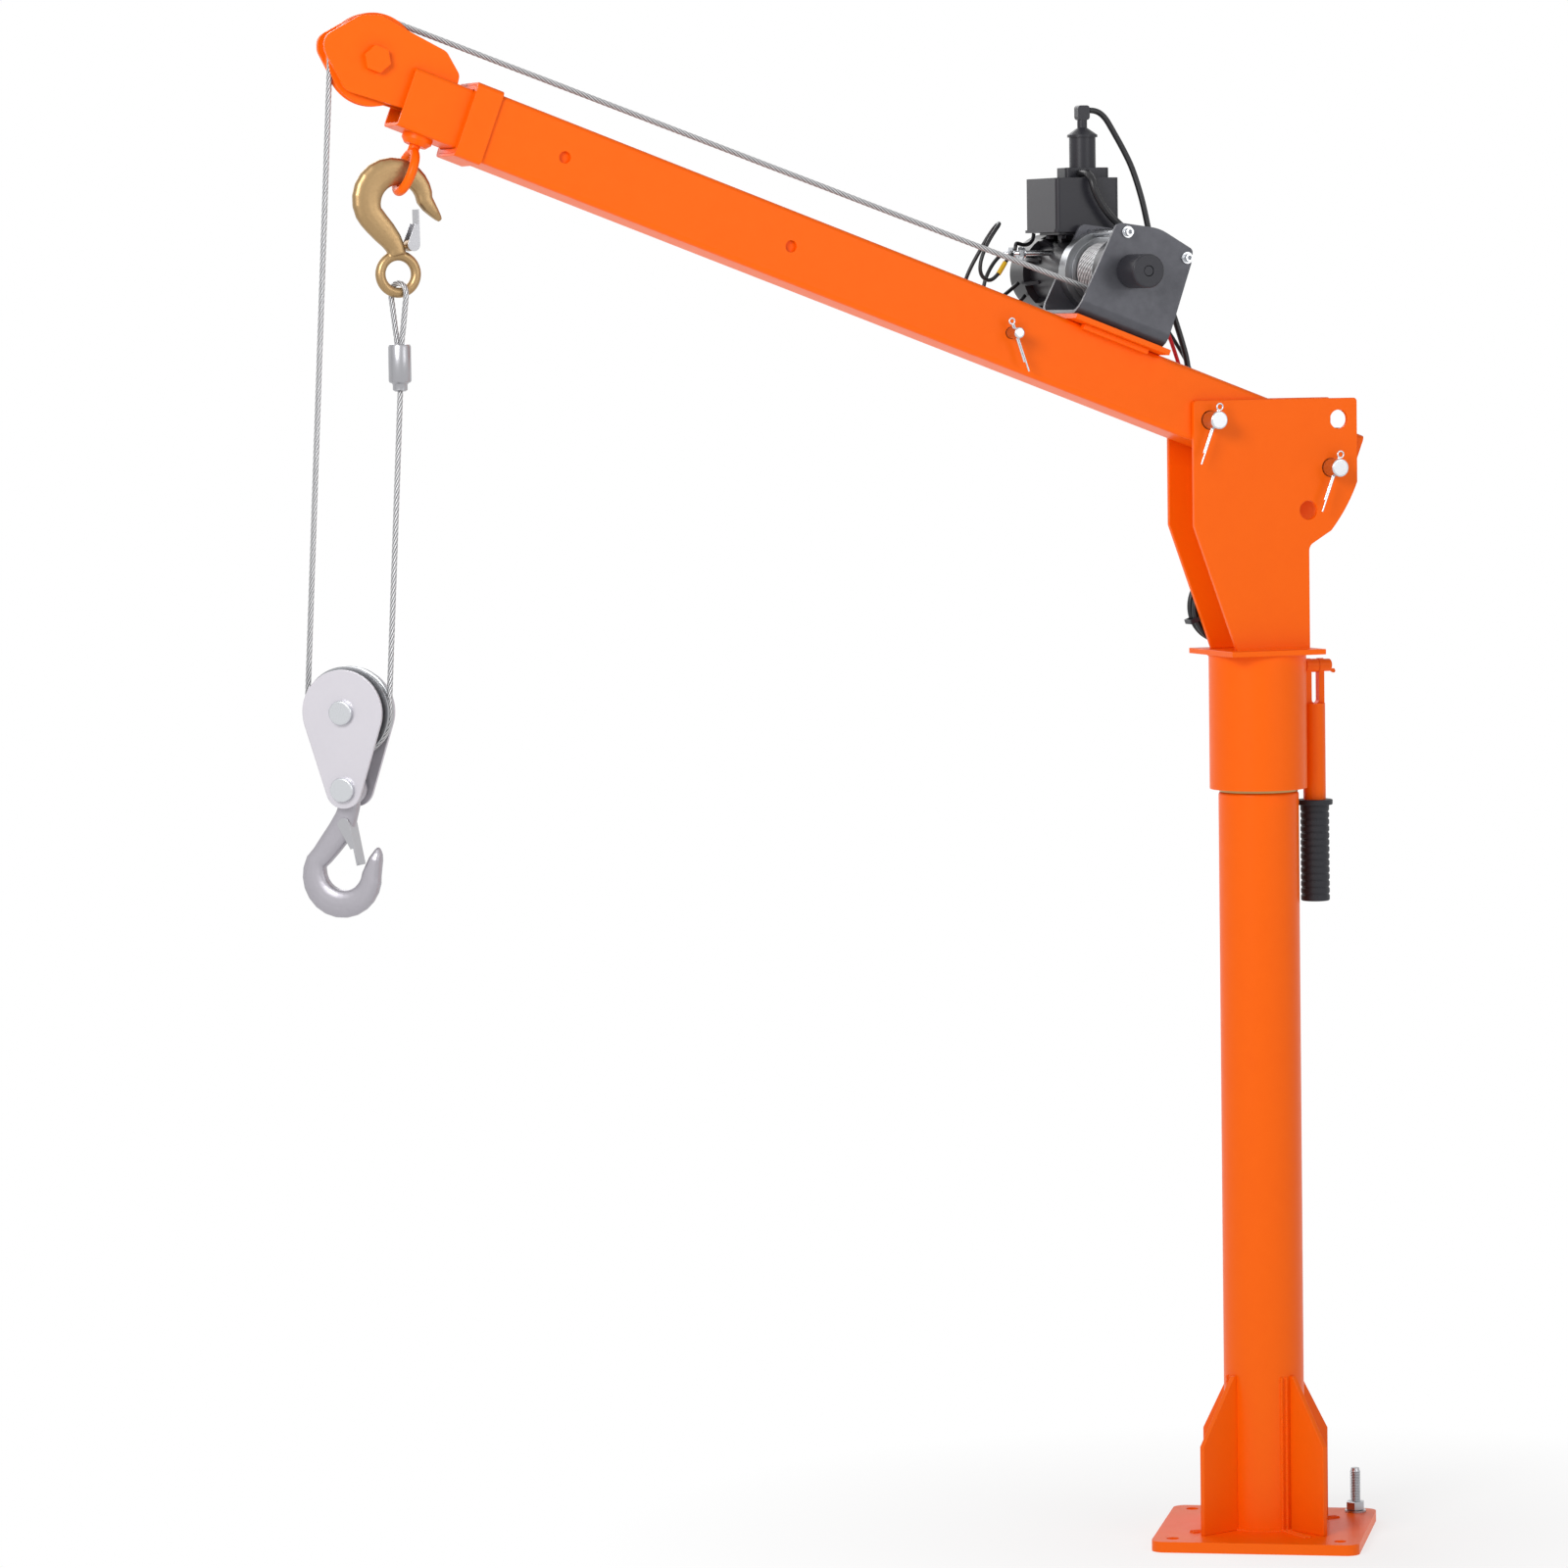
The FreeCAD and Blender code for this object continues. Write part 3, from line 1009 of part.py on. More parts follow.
def rope():
    """The rope on the drum, along the boom, over the tip, round the block and back to its eye."""
    turns = int(S.winding_turns * 4)
    path = []
    stops = [on_winding(2 * math.pi * S.winding_turns * (1 - index / turns)) for index in range(turns + 1)]
    begin, way = stops[0]
    path.append(Part.LineSegment(begin - way * S.rope_thick, begin).toShape())
    for (first, first_way), (last, last_way) in zip(stops, stops[1:]):
        path += biarc(first, first_way, last, last_way)
    end, way = stops[-1]
    leave = end + way * S.rope_thick
    path.append(Part.LineSegment(end, leave).toShape())
    fixed_shape("rope_winding", pipe(path, S.rope_thick))
    slope = math.atan(WINDING_STEP / (2 * math.pi * WINDING_RADIUS))
    print("rope_winding: least gap %.2f mm, %.0f mm long"
          % (WINDING_STEP * math.cos(slope) - S.rope_thick, sum(edge.Length for edge in path)))

    top_angle = RUN_ANGLE + math.pi / 2
    top = BOOM.multVec(AXLE + Vector(math.cos(top_angle), 0, math.sin(top_angle)) * S.tip_rope_radius)
    fixed_shape("rope_top_run", pipe([straight(leave, top)], S.rope_thick))

    hoist_top = HOIST_FOOT + Z_AXIS * S.rope_stub
    return_top = RETURN_FOOT + Z_AXIS * S.rope_stub
    gap = Vector(hoist_top.x - TIP.x, 0, hoist_top.z - TIP.z)
    fall_angle = math.atan2(gap.z, gap.x) - math.acos(S.tip_rope_radius / gap.Length)
    side = TIP + Vector(math.cos(fall_angle), 0, math.sin(fall_angle)) * S.tip_rope_radius
    start = top - TIP
    start_angle = math.atan2(start.z, start.x)
    halfway = start_angle + (fall_angle - start_angle) % (2 * math.pi) / 2
    over = TIP + Vector(math.cos(halfway), 0, math.sin(halfway)) * S.tip_rope_radius
    down = unit(Vector(hoist_top.x - side.x, 0, hoist_top.z - side.z))
    split = side + (hoist_top - side) * ((side.z - SPLIT_LEVEL) / (side.z - hoist_top.z))
    edges = [Part.Arc(top, over, side).toShape()]
    edges += biarc(side, down, split, unit(hoist_top - side))
    fixed_shape("rope_over_tip", pipe(edges, S.rope_thick))
    fixed_shape("hoist_fall", pipe([straight(split, hoist_top)], S.rope_thick))
    under = BLOCK.multVec(Vector(0, 0, -S.block_rope_radius))
    fixed_shape("rope_round_block", pipe([Part.LineSegment(hoist_top, HOIST_FOOT).toShape(),
                                          Part.Arc(HOIST_FOOT, under, RETURN_FOOT).toShape(),
                                          Part.LineSegment(RETURN_FOOT, return_top).toShape()],
                                         S.rope_thick))
    foot = Vector(LINE_EYE.x, 0, FERRULE_FOOT)
    fixed_shape("return_fall", pipe([straight(return_top, foot)], S.rope_thick))


def rope_eye():
    """The loop of rope through the line hook's eye and the pressed ferrule under it."""
    half = S.rope_thick / 2
    leg = (S.line_eye_outer - S.line_eye_inner) / 2 + half + S.fit_clear
    close = half + S.fit_clear
    shoulder = LINE_EYE.z - (S.line_eye_outer + S.line_eye_inner) / 2
    low = FERRULE_TOP + S.rope_thick

    def spot(y, z):
        return Vector(LINE_EYE.x, y, z)

    arch = [Part.LineSegment(spot(-close, FERRULE_TOP), spot(-close, low)).toShape()]
    arch += s_bend(spot(-close, low), spot(-leg, shoulder))
    arch.append(Part.Arc(spot(-leg, shoulder), spot(0, shoulder + leg), spot(leg, shoulder)).toShape())
    arch += s_bend(spot(leg, shoulder), spot(close, low))
    arch.append(Part.LineSegment(spot(close, low), spot(close, FERRULE_TOP)).toShape())
    loop = DOC.addObject("Part::Feature", "rope_loop")
    loop.Shape = pipe(arch, S.rope_thick)
    ferrule = Body("ferrule", at(LINE_EYE.x, 0, FERRULE_FOOT))
    collar = S.ferrule_collar_length
    ferrule.turn(outline((0, 0), (S.ferrule_collar / 2, 0, S.pin_round / 2), (S.ferrule_collar / 2, collar),
                         (S.ferrule_outer / 2, collar, S.pin_round),
                         (S.ferrule_outer / 2, collar + S.ferrule_length, S.pin_round),
                         (0, collar + S.ferrule_length)))
    keep("rope_eye", group("rope_eye", loop, ferrule.body))


def s_bend(first, last):
    """Two equal arcs between parallel upright ways."""
    middle = (first + last) / 2
    up = Z_AXIS if last.z > first.z else Z_AXIS * -1
    return [Part.Arc(first, arc_middle(first, up, middle), middle).toShape(),
            Part.Arc(middle, arc_middle(last, up * -1, middle), last).toShape()]


NECK_SHARES = ((-0.8, -0.2), (-0.93, -0.9))
THROAT_SHARES = ((0.25, -0.75), (0.85, -0.2))
WEB_SHARE = 0.6


def hook(name, place, kind, bore, round_eye):
    """A forged hook that opens to the right, with its eye at the placement, and its sprung latch."""
    size = {key: getattr(S, kind + "_" + key) for key in
            ("bowl", "outer", "hole_drop", "bowl_shift", "back_drop", "back_shift", "tip_reach",
             "tip_drop", "eye_outer", "pin_reach", "pin_drop")}
    half = getattr(S, kind + "_deep") / 2

    def on_back(degrees):
        return (size["back_shift"] + size["outer"] * math.cos(math.radians(degrees)),
                -size["back_drop"] + size["outer"] * math.sin(math.radians(degrees)))

    def in_bowl(degrees):
        return (size["bowl_shift"] + size["bowl"] * math.cos(math.radians(degrees)),
                -size["hole_drop"] + size["bowl"] * math.sin(math.radians(degrees)))

    eye = size["eye_outer"]
    neck = [(x * eye, z * eye) for x, z in NECK_SHARES]
    throat = [(x * eye, z * eye) for x, z in THROAT_SHARES]
    pin_x, pin_z = size["pin_reach"], -size["pin_drop"]
    ear = S.latch_ear
    tip_x, tip_z = size["tip_reach"], -size["tip_drop"]
    seat_x, seat_z = pin_x + ear / 2, pin_z - 1.6 * ear
    span = (seat_x - size["bowl_shift"], seat_z + size["hole_drop"])
    leave = math.degrees(math.atan2(span[1], span[0]) + math.acos(size["bowl"] / math.hypot(*span)))
    shape = Body(name + "_forging", place)
    shape.pad("XZ_Plane", outline(*neck, on_back(140), ("via", *on_back(240)), on_back(345),
                                  (tip_x, tip_z - ear, ear), (tip_x - ear / 2, tip_z, ear / 2),
                                  (tip_x - 2 * ear, tip_z - ear / 2), in_bowl(15),
                                  ("via", *in_bowl(270)), in_bowl(leave),
                                  (seat_x, seat_z, ear),
                                  (pin_x + 0.75 * ear, pin_z, ear), *throat),
              kind + "_deep", middle=True)
    shape.round_rims(half, "hook_round")
    if not round_eye:
        shape.pad("XZ_Plane", circle(0, 0, eye), kind + "_deep", middle=True)
    shape.pocket("XZ_Plane", circle(0, 0, bore))
    shape.pocket("XZ_Plane", circle(pin_x, pin_z, S.latch_pin / 2 + S.fit_clear))
    if round_eye:
        ring = DOC.addObject("Part::Torus", name + "_eye")
        ring.Placement = place.multiply(Placement(Vector(), TOWARDS_NEAR))
        bind(ring, Radius1="(%s_eye_outer + %s_eye_inner) / 2" % (kind, kind),
             Radius2="(%s_eye_outer - %s_eye_inner) / 2" % (kind, kind))
        keep(name, join(name, shape.body, ring))
    else:
        keep(name, shape.body)

    touch = in_bowl(8)
    reach = math.hypot(touch[0] - pin_x, touch[1] - pin_z) - 2 * S.latch_thick
    lean = math.degrees(math.atan2(touch[0] - pin_x, pin_z - touch[1]))
    pivot = place.multiply(Placement(Vector(pin_x, 0, pin_z), Rotation(Y_AXIS, -lean)))
    latch = Body(name + "_latch", pivot)
    thick = S.latch_thick
    outside = half + S.latch_play + thick
    wide = kind + "_deep + 2 * latch_play + 2 * latch_thick"
    big = ear + thick
    latch.pad("XZ_Plane", outline((ear, -ear / 3), (big, -ear / 3), (0, -reach), (-thick, -reach)),
              wide, middle=True)
    for low in (outside - thick, -outside):
        latch.pad("XZ_Plane", outline((-ear, 0), ("via", 0, ear), (big, 0), (big, -ear / 3),
                                      (big * (1 - WEB_SHARE), -reach * WEB_SHARE),
                                      (-thick, -reach * WEB_SHARE)),
                  "latch_thick", rise=low)
    latch.pad("XZ_Plane", circle(0, 0, S.latch_pin / 2), wide, middle=True)
    latch.keep()


def block():
    """The hook block: cheeks, pins and the sheave that the rope turns round."""
    big, small, drop = S.block_round, S.block_foot, S.block_pin_drop
    lean = math.asin((big - small) / drop)
    edge = outline((big * math.cos(lean), -big * math.sin(lean)),
                   ("via", 0, big), (-big * math.cos(lean), -big * math.sin(lean)),
                   (-small * math.cos(lean), -drop - small * math.sin(lean)), ("via", 0, -drop - small),
                   (small * math.cos(lean), -drop - small * math.sin(lean)))
    inside = (S.block_gap - S.block_plate) / 2
    outside = inside + S.block_plate
    cheeks = []
    for name, face in (("block_cheek_near", -inside), ("block_cheek_far", outside)):
        cheek = Body(name, BLOCK)
        cheek.pad("XZ_Plane", edge, "block_plate", rise=-face)
        cheek.pocket("XZ_Plane", circle(0, 0, S.block_axle / 2))
        cheek.pocket("XZ_Plane", circle(0, -drop, S.block_axle / 2))
        cheeks.append(cheek.body)
    keep("block_cheeks", group("block_cheeks", *cheeks))

    pins = []
    axle = S.block_axle / 2
    head = S.rivet_head / 2
    for name, level in (("block_axle_pin", 0), ("block_hook_pin", -drop)):
        rivet = Body(name, BLOCK.multiply(Placement(Vector(0, 0, level), TOWARDS_NEAR)))
        end = outside + S.rivet_high
        rivet.turn(outline((0, -end), (head, -end, S.pin_round), (head, -outside), (axle, -outside),
                           (axle, outside), (head, outside), (head, end, S.pin_round), (0, end)))
        pins.append(rivet.body)
    keep("block_pins", group("block_pins", *pins))

    rope_at = S.block_rope_radius
    groove = S.rope_thick / 2 + S.rope_gap
    rim = rope_at + S.block_rim
    wide = S.block_sheave_wide / 2
    web = S.block_web / 2
    hub = S.block_hub / 2
    bore = axle + S.swivel_clear
    end = inside - S.swivel_clear
    inner = rope_at - 3 * groove
    sheave = Body("block_sheave", BLOCK.multiply(Placement(Vector(), TOWARDS_NEAR)))
    sheave.turn(outline((bore, -end), (hub, -end), (hub, -web), (inner, -web), (inner + groove, -wide),
                        (rim, -wide), (rim, -groove - S.block_rim / 2), (rope_at, -groove),
                        ("via", rope_at - groove, 0), (rope_at, groove), (rim, groove + S.block_rim / 2),
                        (rim, wide), (inner + groove, wide), (inner, web), (hub, web), (hub, end),
                        (bore, end)))
    sheave.pocket("XY_Plane", ring_of_circles((hub + inner) / 2, S.block_lightening / 2, S.sheave_holes))
    sheave.keep()


# Hand-chosen points of the leads, in millimetres
LEAD_POINTS = ((-154.5, 98, 1588), (-146, 98, 1588.5), (-135, 97.5, 1581.5), (-126.5, 95, 1566),
               (-117, 92, 1548), (-108, 88, 1528), (-102, 84, 1507), (-97, 80, 1484),
               (-92.5, 78, 1459), (-88, 74, 1432), (-82, 70, 1405), (-75, 65, 1380), (-69, 60, 1357),
               (-62, 57, 1332), (-57, 53.5, 1309), (-57, 51.5, 1288), (-63.8, 51.5, 1268),
               (-71, 51.5, 1246))
LOWER_POINTS = ((-71.2, 51.5, 1245.5), (-78, 51.2, 1222), (-74, 49.5, 1197), (-62, 47, 1175), (-43, 45, 1156),
                (-20, 43.5, 1138), (2, 42.5, 1118), (16.5, 42, 1094), (21.1, 42, 1066),
                (21.1, 42, 1037.3))
TAIL_POINTS = ((0, 49.8, 1078), (18, 50, 1073), (31, 49, 1061), (37, 48, 1045), (38, 47.6, 1027.4))
RED_POINTS = ((-133.2, 76, 1409), (-124, 76, 1408), (-111, 73, 1398), (-98, 68, 1380), (-87, 62, 1360),
              (-78, 57, 1340), (-72, 54, 1320), (-67, 52.5, 1303), (-63.4, 51.5, 1288.6))
BLACK_POINTS = ((-133.2, 96, 1407), (-124, 96, 1406), (-109, 92, 1396), (-94, 85, 1378),
                (-80, 77, 1358), (-68, 70, 1337), (-59, 64, 1319), (-52.5, 58, 1304),
                (-51.2, 52.5, 1289))
BOX_LEAD_POINTS = ((-206.5, 133, 1453.3), (-207.6, 132, 1446.5), (-216, 125, 1441.5), (-226, 118, 1440.5),
                   (-236, 110.5, 1443), (-240, 106, 1441.5), (-240.5, 105, 1434.8))
LOOP_LEAD_POINTS = ((-243.9, 105, 1431.2), (-250, 103, 1427), (-257, 99, 1419), (-266, 95, 1408),
                    (-278, 91, 1400.5), (-289, 89, 1407), (-290, 89, 1421), (-282, 90, 1440),
                    (-271, 93, 1455), (-260, 101, 1465), (-259, 113, 1464), (-267, 121, 1450),
                    (-277, 124, 1432), (-286, 126, 1416), (-292, 129, 1400), (-289, 134, 1384),
                    (-276, 140, 1374), (-258, 146, 1374), (-240, 152, 1382), (-226, 156, 1391),
                    (-214.5, 159, 1399))
SHORT_LEAD_POINTS = ((-243.9, 135, 1431.2), (-250, 134, 1427), (-259, 132, 1417), (-267, 130, 1403),
                     (-270, 130, 1388), (-265, 133, 1373), (-252, 138, 1365), (-236, 144, 1366),
                     (-221, 150, 1374), (-208, 156, 1385))
SHEATH_POINTS = ((-172, 82.8, 1518.3), (-172, 72, 1518.6), (-172, 60.5, 1518), (-171.5, 51, 1512.5),
                 (-170, 47.8, 1501), (-164.5, 47.6, 1489), (-157, 47, 1477.5), (-148.5, 45.5, 1467.5),
                 (-140, 42.8, 1459.5), (-133.5, 41, 1450.5), (-130, 40.5, 1440))
JOINT_RUN = 15
COIL_PLACE = Vector(LOWER_POINTS[-1][0] - S.coil_outer, LOWER_POINTS[-1][1],
                    LOWER_POINTS[-1][2] - S.rope_joint)


def on_coil(turn):
    """A point of the coil and its heading, by the turns made: in, over a layer and out again."""
    middle = S.coil_turns
    climb = min(max(2 * (turn - middle) + 0.5, 0), 1)
    radius = S.coil_outer - S.coil_step * (middle - abs(turn - middle))
    layer = S.lead_thick + S.coil_play
    angle = -2 * math.pi * turn
    out = Vector(math.cos(angle), 0, math.sin(angle))
    ahead = Vector(math.sin(angle), 0, -math.cos(angle))
    inward = -1 if turn < middle else 1
    rate = S.coil_step / (2 * math.pi)
    rise = 2 * layer / (2 * math.pi) if 0 < climb < 1 else 0
    return COIL_PLACE + out * radius + Y_AXIS * (climb * layer), unit(ahead * radius + out * (inward * rate)
                                                                      + Y_AXIS * rise)


def coil():
    """The lead's spare length, coiled in two layers behind the far plate, with its tie and connector."""
    half_turn_shares = 8
    count = int(round(2 * S.coil_turns * half_turn_shares))
    stops = [on_coil(index / half_turn_shares) for index in range(count + 1)]
    begin, way = stops[0]
    path = []
    for (first, first_way), (last, last_way) in zip(stops, stops[1:]):
        path += biarc(first, first_way, last, last_way)
    length = sum(edge.Length for edge in path)
    tail = [stops[-1][0]] + [Vector(*point) for point in TAIL_POINTS]
    edges, radii = route(tail)
    path += edges
    print("supply_coil: %.0f mm in turns and %.0f mm of tail, radii %s"
          % (length, sum(edge.Length for edge in edges), " ".join("%.0f" % radius for radius in radii)))
    samples = [on_coil(index / 72)[0] for index in range(int(S.coil_turns * 144) + 1)]
    gap = min((first - last).Length for index, first in enumerate(samples)
              for last in samples[index + 40:]) - S.lead_thick
    print("supply_coil: least gap to itself %.2f mm" % gap)
    fixed_shape("supply_coil", pipe(path, S.lead_thick))

    layer = S.lead_thick + S.coil_play
    play = S.latch_play
    inner = S.coil_outer - S.coil_step * S.coil_turns - S.lead_thick / 2 - play
    outer = S.coil_outer + S.lead_thick / 2 + play
    low = -S.lead_thick / 2 - play
    high = layer + S.lead_thick / 2 + play
    band = S.tie_band_thick
    tie = Body("coil_tie", Placement(COIL_PLACE, Rotation(Y_AXIS, -S.tie_angle)))
    tie.pad("XY_Plane", rectangle(inner - band, low - band, outer + band, high + band, band)
            + rectangle(inner, low, outer, high), "tie_band", middle=True)
    tie.keep()

    end = TAIL_POINTS[-1]
    plug = Body("lead_connector", at(end[0], end[1], end[2] - S.rope_joint - S.connector_long))
    plug.pad("XY_Plane", rectangle(-S.connector_wide / 2, -S.connector_thick / 2, S.connector_wide / 2,
                                   S.connector_thick / 2, S.pin_round), "connector_long").keep()


def leads():
    """The lead from the plug to the coil behind the head, and the winch's own wiring."""
    lead = cord("supply_lead", S.lead_thick, LEAD_POINTS)
    fixed_shape("supply_lead", lead)
    fixed_shape("supply_lead_lower", cord("supply_lead_lower", S.lead_thick, LOWER_POINTS))

    edges, _ = route([Vector(*point) for point in LEAD_POINTS])
    first = Vector(*LEAD_POINTS[JOINT_RUN])
    run = unit(Vector(*LEAD_POINTS[JOINT_RUN + 1]) - first)
    red_end = Vector(*RED_POINTS[-1])
    top = first + run * ((red_end - first).dot(run) + S.red_lead / 2)
    sleeve = Part.makeCylinder(S.joint_outer / 2, S.joint_length, top, run)
    sleeve = sleeve.cut(pipe(edges, S.lead_thick + 2 * S.fit_clear))
    fixed_shape("lead_joint", sleeve)

    can = bar("can_core", "motor_outer / 2", "motor_length", DRUM.multiply(
        Placement(Vector(0, 0, -FRAME_HALF - S.motor_length), Rotation())))
    pieces = []
    for index, place in enumerate(terminal_places()):
        stud = Body("terminal_%d" % (index + 1), Placement(place, Rotation(Y_AXIS, -90)))
        half = S.terminal_thick / 2
        nut = S.terminal_nut / 2
        end = S.terminal_reach
        stud.turn(outline((0, 0), (half, 0), (half, end - S.terminal_nut_thick),
                          (nut, end - S.terminal_nut_thick), (nut, end), (half, end),
                          (half, end + S.terminal_nut_thick), (0, end + S.terminal_nut_thick)))
        pieces.append(cut("terminal_stud_%d" % (index + 1), stud.body, can))
    for name, thick, points in (("box_lead", S.small_lead, BOX_LEAD_POINTS),
                                ("loop_lead", S.small_lead, LOOP_LEAD_POINTS),
                                ("short_lead", S.small_lead, SHORT_LEAD_POINTS),
                                ("red_lead", S.red_lead, RED_POINTS),
                                ("black_lead", S.red_lead, BLACK_POINTS),
                                ("lead_sheath", S.sheath_thick, SHEATH_POINTS)):
        wire = DOC.addObject("Part::Feature", name)
        wire.Shape = cord(name, thick, points)
        pieces.append(wire)
    keep("winch_wiring", group("winch_wiring", *pieces))


def check_and_write():
    """Stops at the first failed object, then writes one file for each node."""
    DOC.recompute()
    for item in DOC.Objects:
        if "Invalid" in item.State or "Error" in item.State:
            raise RuntimeError("%s failed: %s" % (item.Name, item.State))
    names = [piece.Label for piece in PIECES]
    if len(set(names)) != len(names):
        raise RuntimeError("two nodes share a name")
    os.makedirs("parts", exist_ok=True)
    for piece in PIECES:
        shape = piece.Shape
        if shape.isNull() or not shape.isValid() or not shape.Solids:
            raise RuntimeError("%s has no valid solid" % piece.Label)
        shape.exportStep("parts/%s.step" % piece.Label)
    print("%d nodes, %d solids" % (len(PIECES), sum(len(piece.Shape.Solids) for piece in PIECES)))


base()
swivel()
head()
handle()
outer_boom()
inner_boom()
winch_mount()
winch()
relay()
rope()
rope_eye()
hook("line_hook", LINE, "line", S.line_eye_inner, True)
block()
hook("load_hook", BLOCK.multiply(Placement(Vector(0, 0, -S.block_pin_drop), Rotation())), "load",
     S.load_pin / 2 + S.load_eye_play, False)
coil()
leads()
check_and_write()
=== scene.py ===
"""The looks of a pickup truck crane: its finishes, rope, leads, forged hooks, welds and fixings.

Every piece is in metres, in the crane's own frame: +Z up the column, the boom out along -X, -Y the near side.
Sizes in the classes below are in millimetres and are scaled by MM where they are used.
"""

import json
import logging
from dataclasses import dataclass, field
from enum import Enum
from math import acos, asin, atan2, copysign, cos, hypot, pi, radians, sin, sqrt
from typing import Optional, Sequence

import bmesh
import bpy
from bpy.types import ID, Material, Mesh, Node, NodeSocket, NodeTree, Object
from mathutils import Matrix, Vector

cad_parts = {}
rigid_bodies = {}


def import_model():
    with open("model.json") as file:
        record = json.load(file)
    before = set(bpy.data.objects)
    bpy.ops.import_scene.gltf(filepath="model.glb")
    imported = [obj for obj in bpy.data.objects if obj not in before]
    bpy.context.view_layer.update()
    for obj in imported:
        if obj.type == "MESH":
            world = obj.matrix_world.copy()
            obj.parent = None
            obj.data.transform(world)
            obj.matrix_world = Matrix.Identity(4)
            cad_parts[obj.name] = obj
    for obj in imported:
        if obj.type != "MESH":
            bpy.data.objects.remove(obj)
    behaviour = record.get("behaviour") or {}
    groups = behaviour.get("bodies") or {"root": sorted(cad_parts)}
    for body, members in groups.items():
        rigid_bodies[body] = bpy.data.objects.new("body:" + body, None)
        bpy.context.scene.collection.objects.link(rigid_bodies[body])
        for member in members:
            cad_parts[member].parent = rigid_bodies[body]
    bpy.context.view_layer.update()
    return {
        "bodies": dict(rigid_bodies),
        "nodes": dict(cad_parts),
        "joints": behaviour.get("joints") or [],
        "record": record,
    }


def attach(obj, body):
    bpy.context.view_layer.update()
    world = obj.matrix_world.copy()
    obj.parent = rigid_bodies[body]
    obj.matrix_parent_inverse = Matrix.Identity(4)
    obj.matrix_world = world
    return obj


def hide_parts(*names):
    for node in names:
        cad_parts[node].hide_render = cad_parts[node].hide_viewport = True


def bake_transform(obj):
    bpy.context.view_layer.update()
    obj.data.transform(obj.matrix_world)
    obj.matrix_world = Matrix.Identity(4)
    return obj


LOG = logging.getLogger("crane")
MM = 0.001
SAME_POINT = 1e-6
MERGED = 2e-6
Point = tuple[float, float, float]


class Side(Enum):
    """The crane's two sides, by the sign of Y."""

    NEAR = -1
    FAR = 1


def metres(point: Sequence[float]) -> Vector:
    """Scales a point in millimetres to metres."""
    return Vector(point) * MM


def linked(name: str, data: ID) -> Object:
    """Makes an object of some data and puts it in the scene."""
    item = bpy.data.objects.new(name, data)
    bpy.context.scene.collection.objects.link(item)
    return item


def modify(item: Object, kind: str, **settings: object) -> None:
    """Adds a modifier with its settings."""
    modifier = item.modifiers.new(kind.lower(), kind)
    for key, value in settings.items():
        setattr(modifier, key, value)


def feed(tree: NodeTree, node: Node, inputs: dict) -> None:
    """Sets a node's inputs, or links them where the value is a socket."""
    for key, value in inputs.items():
        if isinstance(value, NodeSocket):
            tree.links.new(value, node.inputs[key])
        else:
            node.inputs[key].default_value = value


def add_node(tree: NodeTree, kind: str, inputs: Optional[dict] = None, **settings: object) -> Node:
    """Adds a node.

    Args:
        tree: the node tree.
        kind: the node's type.
        inputs: values or sockets, by the inputs' names or numbers.
        **settings: the node's own settings.

    Returns:
        The node.
    """
    node = tree.nodes.new(kind)
    for key, value in settings.items():
        setattr(node, key, value)
    feed(tree, node, inputs or {})
    return node


def sum_of(tree: NodeTree, operation: str, *values: object) -> NodeSocket:
    """A Math node's result, from sockets or numbers."""
    return add_node(tree, "ShaderNodeMath", dict(enumerate(values)), operation=operation).outputs[0]


def geometry_tree(name: str, values: dict[str, float]) -> tuple[NodeTree, dict[str, str]]:
    """Starts a geometry tree, with a line coming in and a mesh going out.

    Args:
        name: the tree's name.
        values: its other inputs and their first values.

    Returns:
        The tree, and its inputs' identifiers by name.
    """
    tree = bpy.data.node_groups.new(name, "GeometryNodeTree")
    tree.interface.new_socket(name="Line", in_out="INPUT", socket_type="NodeSocketGeometry")
    sockets = {}
    for label, value in values.items():
        socket = tree.interface.new_socket(name=label, in_out="INPUT", socket_type="NodeSocketFloat")
        socket.default_value = value
        sockets[label] = socket.identifier
    tree.interface.new_socket(name="Mesh", in_out="OUTPUT", socket_type="NodeSocketGeometry")
    return tree, sockets


def end_tree(tree: NodeTree, geometry: NodeSocket, material: Material) -> None:
    """Ends a geometry tree with real geometry in one material."""
    real = add_node(tree, "GeometryNodeRealizeInstances", {"Geometry": geometry})
    dress = add_node(tree, "GeometryNodeSetMaterial", {"Geometry": real.outputs["Geometry"], "Material": material})
    add_node(tree, "NodeGroupOutput", {0: dress.outputs["Geometry"]})


